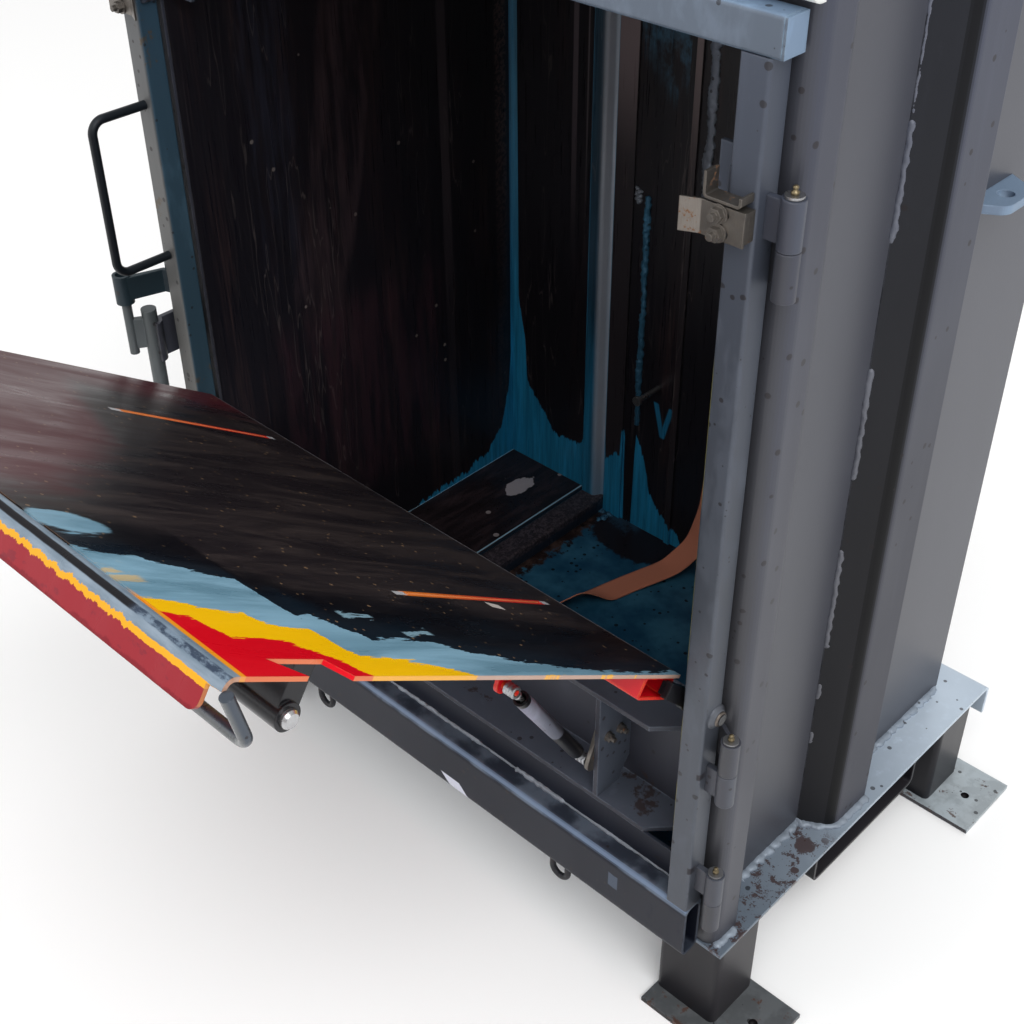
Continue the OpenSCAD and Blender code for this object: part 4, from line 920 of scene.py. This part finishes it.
class BALER_OT_chamber(bpy.types.Operator):
    """Paint the inside of the chamber"""

    bl_idname = "baler.chamber"
    bl_label = "Chamber paint"

    def execute(self, context):
        painted("side_wall_left", "side_wall_right")(wall_paint("side wall paint", side_inner))
        painted("back_wall")(wall_paint("back wall paint", back_inner))
        painted("floor_step", "floor_bar")(wall_paint("floor step paint", step_inner))
        return {"FINISHED"}


class BALER_OT_door(bpy.types.Operator):
    """Paint the door's frame, panel, handle and hinges"""

    bl_idname = "baler.door"
    bl_label = "Door paint"

    def execute(self, context):
        def post_extra(t, where, tone):
            """A thin yellow-green edge inside the post, and three small dark spots on its front."""
            x, y, z = t.parts(where)
            # Three small dark spots on the post's front: painted shade standing for small holes.
            for at, size in ((0.532, 0.004), (0.3512, 0.005), (0.197, 0.006)):
                small_mark = t.times(t.near(x, POST_OUT, 0.0035, 0.002), t.near(z, at, size, 0.002))
                tone = t.mix(t.times(small_mark, t.step(y, -0.37, -0.38)), tone, linear(40, 38, 44))
            inner = t.times(t.near(x, POST_IN, 0.0012, 0.001), t.step(t.noise(where, 9.0, 3), 0.45, 0.55))
            return t.mix(t.times(inner, t.step(z, 1.14, 1.1), 0.8), tone, linear(176, 168, 52))

        def rail_extra(t, where, tone):
            """A pale rubbed line along the rail's upper edges, a painted highlight along its rounded front
            edge, and a few bare patches.
            """
            x, y, z = t.parts(where)
            rub = t.times(t.near(z, RAIL_TOP - 0.004, 0.004, 0.003),
                          t.step(t.noise(where, 14.0, 4), 0.42, 0.6))
            tone = t.mix(t.times(rub, 0.5), tone, linear(120, 132, 148))
            # Painted highlight along the rail's front-top rounding.
            nx, ny, nz = t.facing()
            rounded = t.times(t.step(nz, 0.35, 0.7), t.step(ny, -0.25, -0.55), t.step(z, 0.235, 0.25))
            tone = t.mix(t.times(rounded, 0.8), tone, linear(112, 130, 156))
            ragged = t.times(t.swing(where, 40.0, 4), 0.008)
            low = t.plus(x, t.plus(z, ragged))
            front = t.step(ny, -0.5, -0.9)
            bare = t.times(t.between(low, 0.236, 0.275, 0.001), t.step(z, 0.196, 0.194))
            tone = t.mix(t.times(bare, front), tone, linear(206, 208, 222))
            bare = t.times(t.between(x, 0.386, 0.402, 0.001),
                           t.between(t.plus(z, ragged), 0.213, 0.238, 0.001))
            tone = t.mix(t.times(bare, front), tone, linear(66, 76, 92))
            dash = t.step(t.noise(t.place(where, (1, 0.2, 5)), 42.0, 3, 0.5), 0.56, 0.6)
            line = t.most(t.times(t.near(z, 0.3145, 0.0016, 0.0008), t.step(x, 0.17, 0.15)),
                          t.times(t.near(z, 0.288, 0.0024, 0.001), t.step(x, 0.2, 0.22)))
            return t.mix(t.times(dash, line, t.step(x, -0.02, 0.0)), tone, linear(20, 18, 22))

        painted("door_post_right", "flap_stops")(
            enamel("post enamel", linear(74, 79, 88), linear(72, 77, 86), scuff=0.42, speck=0.25,
                   extra=post_extra))
        painted("door_post_left")(enamel("left post enamel", linear(98, 99, 98), linear(62, 88, 104),
                                         scuff=0.42,
                                         speck=0.3, stain=linear(88, 78, 66)))
        painted("door_knuckles")(enamel("knuckle enamel", linear(68, 70, 78), linear(74, 78, 88), scuff=0.4))
        painted("door_bottom_rail", "door_apron")(
            enamel("rail enamel", linear(21, 25, 38), linear(52, 59, 72), extra=rail_extra))
        painted("door_top_bar")(enamel("bar enamel", linear(96, 104, 112), linear(118, 138, 156), scuff=0.4))
        painted("door_panel", "spring_gussets")(
            enamel("panel enamel", linear(56, 58, 68), linear(92, 100, 114), speck=0.25,
                   stain=linear(58, 44, 40)))
        painted("door_handle")(enamel("door handle enamel", linear(24, 29, 34), linear(26, 32, 38),
                                      scuff=0.3))
        painted("bolt_keeper")(enamel("keeper enamel", linear(30, 44, 52), linear(38, 54, 62), scuff=0.5))
        painted("flap_handle")(enamel("flap handle enamel", linear(96, 98, 98), linear(70, 76, 84), scuff=0.5,
                                      rough=0.25,
                                      metal=0.5))
        painted("door_bolt")(enamel("bolt tube enamel", linear(74, 79, 81), linear(78, 84, 87), scuff=0.5))
        painted("rail_hooks")(enamel("hook enamel", linear(36, 36, 40), linear(40, 40, 46)))
        painted("flap_strikes", "spring_studs", "door_fasteners")(
            steel("zinc plate", linear(120, 115, 110), 0.34, 0.3, rust_tone=linear(104, 72, 48)))
        return {"FINISHED"}


class BALER_OT_flap(bpy.types.Operator):
    """Paint the flap, its stiffener and its latch"""

    bl_idname = "baler.flap"
    bl_label = "Flap paint"

    def execute(self, context):
        paint = context.scene.baler_paint
        red, yellow = tuple(paint.red), tuple(paint.yellow)

        def borders(t):
            """Places on the flap, across and out from its hinge, and its black with smears drawn outwards and a
            painted dark red reflection on its left.
            """
            where = t.object()
            local = t.add("Mapping", Vector=where, vector_type="TEXTURE", Location=tuple(FLAP_HINGE),
                          Rotation=(-FLAP_TILT, 0, 0))
            x, behind, up = t.parts(local)
            out = t.times(behind, -1.0)
            smear = t.noise(t.place(local, (8, 1.4, 1)), 2.6, 5, 0.65, 0.6)
            fine = t.noise(t.place(local, (30, 2, 1)), 3.4, 4, 0.7)
            wide = t.times(t.swing(t.place(local, (2.5, 1, 1)), 4.0, 3, 0.6), 0.2)
            brown = t.mix(t.step(smear, 0.40, 0.72), linear(34, 30, 33), linear(58, 50, 49))
            brown = t.mix(t.step(fine, 0.55, 0.85, 0.0, 0.4), brown, linear(92, 82, 78))
            gap = t.minus(t.curve(out, BLUE_EDGE), x)
            deep = t.step(t.plus(gap, wide), 0.17, 0.08)
            black = t.mix(t.times(deep, 0.9), brown, t.mix(t.step(t.plus(gap, wide), 0.09, 0.0),
                                                           linear(12, 12, 17), linear(14, 27, 38)))
            # Painted reflection: a dark red sheen over the flap's left part, up to this border.
            border = t.curve(out, ((0.36, -0.36), (0.405, -0.288), (0.464, -0.129), (0.56, -0.02),
                                   (0.673, 0.068),
                                   (0.763, 0.082)))
            maroon_reflection = t.plus(t.minus(border, x), t.times(t.minus(smear, 0.5), 0.12))
            black = t.mix(t.step(maroon_reflection, -0.03, 0.07, 0.0, 0.85), black, linear(84, 32, 40))
            grit = specks(t, where, 120.0, 0.2)
            black = t.mix(t.times(grit, t.step(smear, 0.35, 0.6), 0.7), black, linear(140, 112, 84))
            ragged = t.times(t.swing(t.place(local, (30, 6, 1)), 3.0, 4, 0.65), 0.035)
            fringe = t.times(t.swing(t.place(local, (110, 14, 1)), 3.0, 3, 0.65), 0.02)
            across = t.plus(x, t.plus(ragged, fringe))
            return x, out, up, across, black, smear, local

        def flap(t):
            x, out, up, across, black, smear, local = borders(t)
            above = lambda edge: t.step(t.minus(across, edge), 0.0, 0.002)
            pale = t.mix(t.step(smear, 0.35, 0.7), linear(104, 142, 162), linear(136, 176, 198))
            tone = t.mix(above(t.curve(out, BLUE_EDGE)), black, pale)
            spot_x = t.math("DIVIDE", t.minus(across, 0.158), 0.03)
            spot_y = t.math("DIVIDE", t.minus(out, 0.737), 0.042)
            spot_away = t.plus(t.times(spot_x, spot_x), t.times(spot_y, spot_y))
            spot = t.step(t.plus(spot_away, t.times(t.minus(smear, 0.5), 3.0)), 1.25, 0.75)
            tone = t.mix(spot, tone, pale)
            tone = t.mix(above(t.curve(out, GOLD_EDGE)), tone, yellow)
            tone = t.mix(above(t.curve(out, RUBY_EDGE)), tone, red)
            blot = t.step(t.noise(t.place(local, (3, 1, 1)), 22.0, 3, 0.6), 0.46, 0.56)
            smudge = t.times(t.between(across, 0.258, 0.284, 0.012), t.between(out, 0.744, 0.768, 0.012),
                             blot)
            tone = t.mix(t.times(smudge, 0.75), tone, t.mix(0.4, yellow, pale))
            dabs = t.times(t.between(across, 0.338, 0.347, 0.002), t.between(out, 0.484, 0.524, 0.006))
            tone = t.mix(dabs, tone, linear(128, 160, 176))
            dabs = t.times(t.between(across, 0.374, 0.382, 0.002), t.between(out, 0.424, 0.464, 0.006))
            tone = t.mix(dabs, tone, linear(128, 160, 176))
            side = t.minus(t.size_of(x), 0.276)
            slip = t.times(out, 0.35)
            small_mark = t.times(t.near(t.minus(t.plus(x, slip), 0.367), 0.0, 0.0062, 0.001),
                           t.between(out, 0.195, 0.214, 0.001))
            tone = t.mix(small_mark, tone, linear(214, 204, 198))
            rim = t.times(t.near(side, 0.0, 0.0052, 0.0012), t.between(out, 0.08, 0.359, 0.003))
            heat = t.step(out, 0.15, 0.35)
            tone = t.mix(rim, tone, t.mix(heat, linear(214, 44, 40), linear(226, 120, 40)))
            dents = t.times(t.near(side, 0.0, 0.0035, 0.002),
                            t.most(t.between(out, 0.355, 0.372, 0.003), t.between(out, 0.068, 0.078, 0.003)))
            tone = t.mix(dents, tone, linear(190, 190, 194))
            hem = t.times(t.step(out, 0.0335, 0.0312), t.step(t.noise(local, 11.0, 3), 0.3, 0.6, 0.3, 0.9))
            tone = t.mix(hem, tone, linear(128, 126, 130))
            inner_rim = t.between(out, 0.7695, 0.775, 0.0012)
            tone = t.mix(t.times(inner_rim, t.step(x, 0.30, 0.33)), tone, linear(232, 150, 34))
            calm = t.step(x, 0.33, 0.37, 0.018, 0.006)
            jag = t.times(t.swing(t.place(local, (1, 0.1, 0.1)), 90.0, 5, 0.75), calm)
            height = t.plus(up, jag)
            lean = t.minus(t.minus(out, 0.778), t.minus(up, 0.018))
            silver = t.mix(t.step(t.noise(t.place(local, (3, 12, 12)), 8.0, 3), 0.3, 0.7),
                           linear(104, 120, 134),
                           linear(130, 144, 158))
            # Painted shade along the rolled bend: a darker, blotchy middle line between paler sides, and
            # near-black where x is under 0.33, a painted shadow in the slit along the lip.
            mottled_shade = t.mix(t.step(t.noise(t.place(local, (1, 2, 2)), 55.0, 4, 0.7), 0.4, 0.6),
                           linear(48, 60, 78),
                           linear(110, 126, 142))
            mottled_shade = t.mix(t.step(x, 0.345, 0.33), mottled_shade, linear(14, 14, 20))
            wander = t.plus(lean, t.times(t.swing(t.place(local, (1, 0, 0)), 16.0), 0.003))
            silver = t.mix(t.near(wander, -0.001, 0.0042, 0.0022), silver, mottled_shade)
            tone = t.mix(t.step(out, 0.7745, 0.776), tone, silver)
            on_lip = t.times(t.step(height, 0.0158, 0.0152), t.step(out, 0.778, 0.78))
            tone = t.mix(on_lip, tone, linear(224, 158, 16))
            split = t.plus(up, t.times(t.swing(t.place(local, (1, 0.3, 0.6)), 34.0, 5, 0.7), 0.022))
            lip_red = t.mix(t.step(split, -0.0125, -0.0095), linear(120, 2, 24), linear(142, 26, 38))
            marks = t.step(t.noise(t.place(local, (6, 3, 9)), 9.0, 4, 0.6), 0.6, 0.66)
            lip_red = t.mix(t.times(marks, 0.5), lip_red, linear(104, 20, 40))
            tone = t.mix(t.times(t.step(height, 0.0092, 0.0086), t.step(out, 0.778, 0.78)), tone, lip_red)
            rough = t.step(smear, 0.3, 0.7, 0.24, 0.46)
            rim_face = t.step(t.facing()[0], 0.8, 0.95, 0.0, 0.6)
            tone = t.mix(rim_face, tone, linear(204, 142, 92))
            grain = t.noise(t.place(local, (40, 6, 40)), 12.0, 1)
            worn = use(t, edges_group(), Vector=t.object(), Radius=0.0012)
            tone = t.mix(t.times(worn["Mask"], 0.6), tone, linear(196, 150, 110))
            return {"Base_Color": tone, "Roughness": rough,
                    "Normal": t.bump(grain, 0.08, 0.0006, worn["Normal"])}

        painted("flap_plate")(finish("flap paint", flap, Specular_IOR_Level=0.2))

        def orange_edges(t, where, tone):
            """Orange shows where the red is rubbed off the edges."""
            worn = use(t, edges_group(), Vector=where, Radius=0.004)["Mask"]
            return t.mix(worn, tone, linear(226, 104, 34))

        painted("flap_stiffener", "spring_brackets")(
            enamel("red enamel", red, red, dark=(0.55, 0.5, 0.6), rough=0.26, metal=0.0, extra=orange_edges))
        painted("latch_housings", "flap_pins", "spring_barrels")(
            enamel("black enamel", linear(22, 22, 26), linear(24, 24, 28), rough=0.22, scuff=0.12,
                   speck=0.04))
        painted("latch_bolt_right", "latch_bolt_left", "spring_rods")(steel("polished rod",
                                                                            linear(176, 176, 178), 0.16))
        return {"FINISHED"}


class BALER_OT_strap(bpy.types.Operator):
    """Weave the eject strap"""

    bl_idname = "baler.strap"
    bl_label = "Eject strap"

    def execute(self, context):
        tone = tuple(context.scene.baler_paint.webbing)
        way = np.array(STRAP_WAY) / 1000
        way[:, 2] += BASE_TOP + 0.0018
        gone = np.concatenate([[0], np.cumsum(np.linalg.norm(np.diff(way, axis=0), axis=1))])
        at = np.linspace(0, gone[-1], 220)
        path = np.stack([np.interp(at, gone, way[:, k]) for k in range(3)], 1)
        for _ in range(6):
            path[1:-1] = (path[:-2] + 2 * path[1:-1] + path[2:]) / 4
        along = unit(np.gradient(path, axis=0))
        flat = np.stack([along[:, 1], -along[:, 0], along[:, 2] * 0], 1)
        rising = np.clip(along[:, 2:] * 1.6, 0, 1)
        side = unit(unit(flat + 1e-6) * (1 - rising) + np.array([1.0, 0, 0]) * rising)
        over = np.cross(side, along)
        ease = lambda low, high: (lambda v: v * v * (3 - 2 * v))(np.clip((path[:, 1] - low) / (high - low), 0,
                                                                         1))
        roll = (STRAP_ROLL * (1 - ease(0.075, 0.15)) * ease(-0.1, 0.03))[:, None]
        turned = side * np.cos(roll) + over * np.sin(roll)
        over = over * np.cos(roll) - side * np.sin(roll)
        path, side = path + STRAP_HALF * (turned - side), turned
        across = np.linspace(-1, 1, 13)
        ribs = 0.00025 * np.cos(across * np.pi * 5)
        face = np.concatenate([np.stack([across * STRAP_HALF, 0.0011 + ribs], 1),
                               np.stack([across[::-1] * STRAP_HALF, np.full(len(across), -0.0009)], 1)])
        points = path[:, None] + side[:, None] * face[None, :, :1] + over[:, None] * face[None, :, 1:]

        def build(t):
            where = t.object()
            weave = t.add("TexWave", Vector=where, Scale=150.0, Distortion=0.4, bands_direction="DIAGONAL")
            dirt = t.noise(where, 26.0, 3, 0.7)
            far = t.step(t.parts(where)[1], 0.06, 0.3)
            colour = t.mix(far, tone, linear(190, 92, 82))
            colour = t.mix(t.step(dirt, 0.45, 0.8, 0.0, 0.4), colour, linear(120, 52, 46))
            # Paler bands of the weave: a painted highlight on its ribs.
            colour = t.mix(t.step(weave, 0.3, 0.7, 0.0, 0.2), colour, linear(196, 84, 70))
            return {"Base_Color": colour, "Normal": t.bump(weave, 0.35, 0.0006)}

        made = piece("eject_strap_webbing", [skin(points)], "frame",
                     finish("webbing", build, Roughness=0.85, Specular_IOR_Level=0.12))
        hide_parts("eject_strap")
        return {"FINISHED"}


class BALER_OT_welds(bpy.types.Operator):
    """Lay the weld beads"""

    bl_idname = "baler.welds"
    bl_label = "Weld beads"

    def execute(self, context):
        settings = context.scene.baler_weld
        wide, pitch = settings.width, settings.pitch
        coat = enamel("painted weld", linear(84, 86, 94), linear(92, 94, 102), rough=0.3, scuff=0.4,
                      speck=0.3, metal=0.1)
        bright = enamel("bright weld", linear(128, 138, 152), linear(140, 152, 166), rough=0.3, scuff=0.5,
                        speck=0.2,
                        metal=0.2)
        silver = enamel("bare weld", linear(122, 128, 138), linear(142, 150, 160), rough=0.34, scuff=0.6,
                        speck=0.35,
                        dark=(0.45, 0.42, 0.42), metal=0.4)
        rib_y = FRONT_Y + 0.2775
        beads, feet = [], []
        for side in (1, -1):
            out, foot = (side * 0.75, -0.66, 0), BASE_TOP + 0.0005
            wall = side * (WALL_OUT + 0.001)
            runs = ((1.30, 1.64, 0.6), (1.147, 1.296, 1.1), (0.816, 0.983, 1.15), (0.528, 0.704, 1.1),
                    (0.43, 0.462, 1.1), (0.34, 0.366, 0.9), (0.172, 1.65, 0.32))
            for k, (low, high, share) in enumerate(runs):
                beads.append(bead([(wall, rib_y, low), (wall, rib_y, high)], out, wide * share * 0.7,
                                  wide * share * 0.35,
                                  pitch, seed=k + 10 * side + 40, lumps=0.12))
            ways = (([(WALL_OUT + 0.001, -0.226, foot), (WALL_OUT + 0.002, -0.071, foot)], 0.016),
                    ([(WALL_OUT, -0.076, foot), (WALL_OUT + 0.004, -0.066, foot)], 0.024),
                    ([(WALL_OUT + 0.002, -0.071, foot), (COLUMN_X - 0.014, -0.051, foot),
                      (COLUMN_X, -0.036, foot),
                      (COLUMN_X + 0.001, 0.047, foot)], 0.016),
                    ([(WALL_OUT + 0.001, 0.055, foot), (WALL_OUT + 0.001, BACK_Y, foot)], 0.015),
                    ([(COLUMN_X + 0.001, -0.342, foot), (COLUMN_X + 0.001, -0.294, foot)], 0.014))
            for k, (way, size) in enumerate(ways):
                way = [(side * x, y, z) for x, y, z in way]
                feet.append(bead(way, (0, 0, 1), size, size * 0.3, pitch * 1.4, seed=k + 60 + side,
                                 lumps=0.14))
        piece("frame_welds", beads, "frame", coat)
        piece("foot_welds", feet, "frame", bright)
        low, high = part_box("foot_plates")
        # Dark linings in the four anchor holes: dirt and painted shade inside the holes.
        hole = [(0.2, 0.3), (6.9, 0.4), (6.9, (high.z - low.z) * 1000 - 0.3)]
        dirt = [lathe(np.array(hole) / 1000, (sx * ANCHOR_X, sy * ANCHOR_Y, low.z), (0, 0, 1), 24, False)
                for sx in (1, -1) for sy in (1, -1)]
        piece("hole_dirt", dirt, "frame", enamel("hole dirt", linear(26, 24, 26), linear(26, 24, 26),
                                                 shine=0.1,
                                                 metal=0.0))
        back = BACK_Y - 0.0005
        beads = [bead([(-0.056, back, 0.87), (-0.057, back, WALL_TOP - 0.01)], (0, -1, 0), 0.016, 0.0035,
                      0.006, 3)]
        for k in range(9):
            beads.append(crumb((-0.193 + 0.004 * np.sin(k * 2.1), back, 0.842 + 0.003 * k), 0.005, k))
        piece("back_wall_welds", beads, "frame", silver)
        blue = enamel("blue weld", linear(56, 104, 132), linear(60, 108, 136), scuff=0.4, speck=0.3,
                      dark=(0.3, 0.3, 0.3))
        beads = [bead([(-0.172, back, 0.40), (-0.172, back, 0.86)], (0, -1, 0), 0.011, 0.0045, 0.006, 5)]
        rng = np.random.default_rng(12)
        spots = [(-0.249 + rng.normal(0, 0.006), BACK_Y - abs(rng.normal(0, 0.008)),
                  BASE_TOP + 0.001) for _ in range(16)]
        spots += [(-0.225 + rng.normal(0, 0.005), 0.315 + rng.normal(0, 0.008),
                   BASE_TOP + 0.001) for _ in range(12)]
        beads += [crumb(spot, 0.0028 + 0.003 * rng.random(), k) for k, spot in enumerate(spots)]
        piece("chamber_crumbs", beads, "frame", blue)
        back = DOOR_BACK - 0.0005
        beads = [bead([(x0, back, RAIL_TOP + 0.0005), (x1, back, RAIL_TOP + 0.0005)], (0, -0.7, 0.7), size,
                      size * 0.4,
                      pitch, seed=k + 80)
                 for k, (x0, x1, size) in enumerate(((-0.485, 0.485, 0.0035), (-0.09, 0.10, 0.0075),
                                                     (0.17, 0.27, 0.009),
                                                     (0.33, 0.40, 0.006), (-0.40, -0.22, 0.007)))]
        piece("rail_weld", beads, "door", silver)
        return {"FINISHED"}


class BALER_OT_springs(bpy.types.Operator):
    """Dress the gas springs with sleeves and ball sockets"""

    bl_idname = "baler.springs"
    bl_label = "Gas springs"

    def execute(self, context):
        sleeve = enamel("spring sleeve", linear(132, 132, 148), linear(122, 126, 140), rough=0.4, scuff=0.5,
                        speck=0.3,
                        dark=(0.6, 0.58, 0.6), metal=0.1)
        zinc = steel("spring fitting", linear(170, 172, 176), 0.24)
        brass = steel("brass nipple", linear(122, 110, 86), 0.28)
        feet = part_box("spring_barrels"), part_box("spring_rods")
        foot = np.array([feet[0][1].x - SLEEVE_R, feet[0][1].y - SOCKET_R, feet[0][0].z + SOCKET_R])
        top = np.array([foot[0], feet[1][0].y + SOCKET_R, feet[1][1].z - SOCKET_R])
        axis = unit(top - foot)
        collar = [(5.3, -8.3), (8.6, -8.3), (8.95, -7.6), (8.95, -4.4), (8.2, -3.8), (8.2, -3.0),
                  (8.95, -2.4),
                  (8.95, 2.4), (8.2, 3.0), (8.2, 3.8), (8.95, 4.4), (8.95, 7.6), (8.6, 8.3), (5.3, 8.3)]
        neck = [(4.5, 8), (6.6, 8.5), (6.6, 14), (5.9, 14.6), (5.9, 15.6), (6.6, 16.2), (6.6, 22), (6.1, 23)]
        for side, name in ((1, "right"), (-1, "left")):
            here = lambda p: np.array([side * p[0], p[1], p[2]])
            rim = [(SLEEVE_R * 1000 - 0.4, 110), (SLEEVE_R * 1000 + 0.15, 110.3),
                   (SLEEVE_R * 1000 + 0.15, 231.7),
                   (SLEEVE_R * 1000 - 0.4, 232)]
            piece("spring_sleeve_" + name, [lathe(np.array(rim) / 1000, here(foot), axis, 40, False)],
                  "barrels", sleeve)
            low = [lathe(np.array(collar) / 1000, here(foot), (1, 0, 0), 32, False),
                   lathe(np.array(neck) / 1000, here(foot), axis, 24, False)]
            piece("spring_foot_" + name, low, "barrels", zinc)
            high = [lathe(np.array(collar) / 1000, here(top), (1, 0, 0), 32, False),
                    lathe(np.array(neck[:6]) / 1000, here(top), -axis, 24, False)]
            piece("spring_head_" + name, high, "rods", zinc)
        ring = [(17, -0.5), (17, 0.6), (15.4, 2.4), (13.2, 3.4), (12.2, 5.2), (11.2, 6), (9, 6)]
        collars = [lathe(np.array(ring) / 1000, (side * POST_OUT, FLAP_HINGE[1], FLAP_HINGE[2]), (side, 0, 0),
                         40, False)
                   for side in (1, -1)]
        piece("pin_collars", collars, "door", enamel("collar enamel", linear(80, 84, 92), linear(86, 90, 98)))
        dome = [(10.6, 5), (10.6, 7.4), (9.6, 8.6), (6, 9.2), (0.2, 9.4)]
        heads = [lathe(np.array(dome) / 1000, (side * POST_OUT, FLAP_HINGE[1], FLAP_HINGE[2]), (side, 0, 0),
                       32)
                 for side in (1, -1)]
        piece("pin_heads", heads, "door", steel("pin head", linear(112, 104, 98), 0.34, 0.2))
        nipple = [(4.2, 0), (4.2, 3.2), (2.6, 3.8), (2.2, 5.6), (3.1, 6.6), (3.1, 8.0), (1.8, 9.2),
                  (0.2, 9.4)]
        pins = [lathe(np.array(nipple) / 1000, (HINGE_X, HINGE_Y, z + NIPPLE_FOOT), (0, 0, 1), 16)
                for z in HINGE_HEIGHTS]
        piece("grease_nipples", pins, "frame", brass)
        return {"FINISHED"}


class BALER_PT_panel(bpy.types.Panel):
    """Lists the baler's settings and steps"""

    bl_label = "Recycling baler"
    bl_idname = "BALER_PT_panel"
    bl_space_type = "VIEW_3D"
    bl_region_type = "UI"
    bl_category = "Baler"

    def draw(self, context):
        for name in GROUPS:
            settings = getattr(context.scene, name)
            for key in settings.bl_rna.properties.keys():
                if key not in ("rna_type", "name"):
                    self.layout.prop(settings, key)
        for step in STEPS:
            self.layout.operator(step.bl_idname)


GROUPS = {"baler_stage": BalerStageSettings, "baler_paint": BalerPaintSettings,
          "baler_weld": BalerWeldSettings}
STEPS = (BALER_OT_stage, BALER_OT_outside, BALER_OT_chamber, BALER_OT_door, BALER_OT_flap, BALER_OT_strap,
         BALER_OT_welds, BALER_OT_springs)


def register():
    for name, group_class in GROUPS.items():
        bpy.utils.register_class(group_class)
        setattr(bpy.types.Scene, name, bpy.props.PointerProperty(type=group_class))
    for step in (*STEPS, BALER_PT_panel):
        bpy.utils.register_class(step)


def unregister():
    for step in (*STEPS, BALER_PT_panel):
        bpy.utils.unregister_class(step)
    for name, group_class in GROUPS.items():
        delattr(bpy.types.Scene, name)
        bpy.utils.unregister_class(group_class)


def main():
    register()
    for step in STEPS:
        family, name = step.bl_idname.split(".")
        getattr(getattr(bpy.ops, family), name)()


if __name__ == "__main__":
    main()
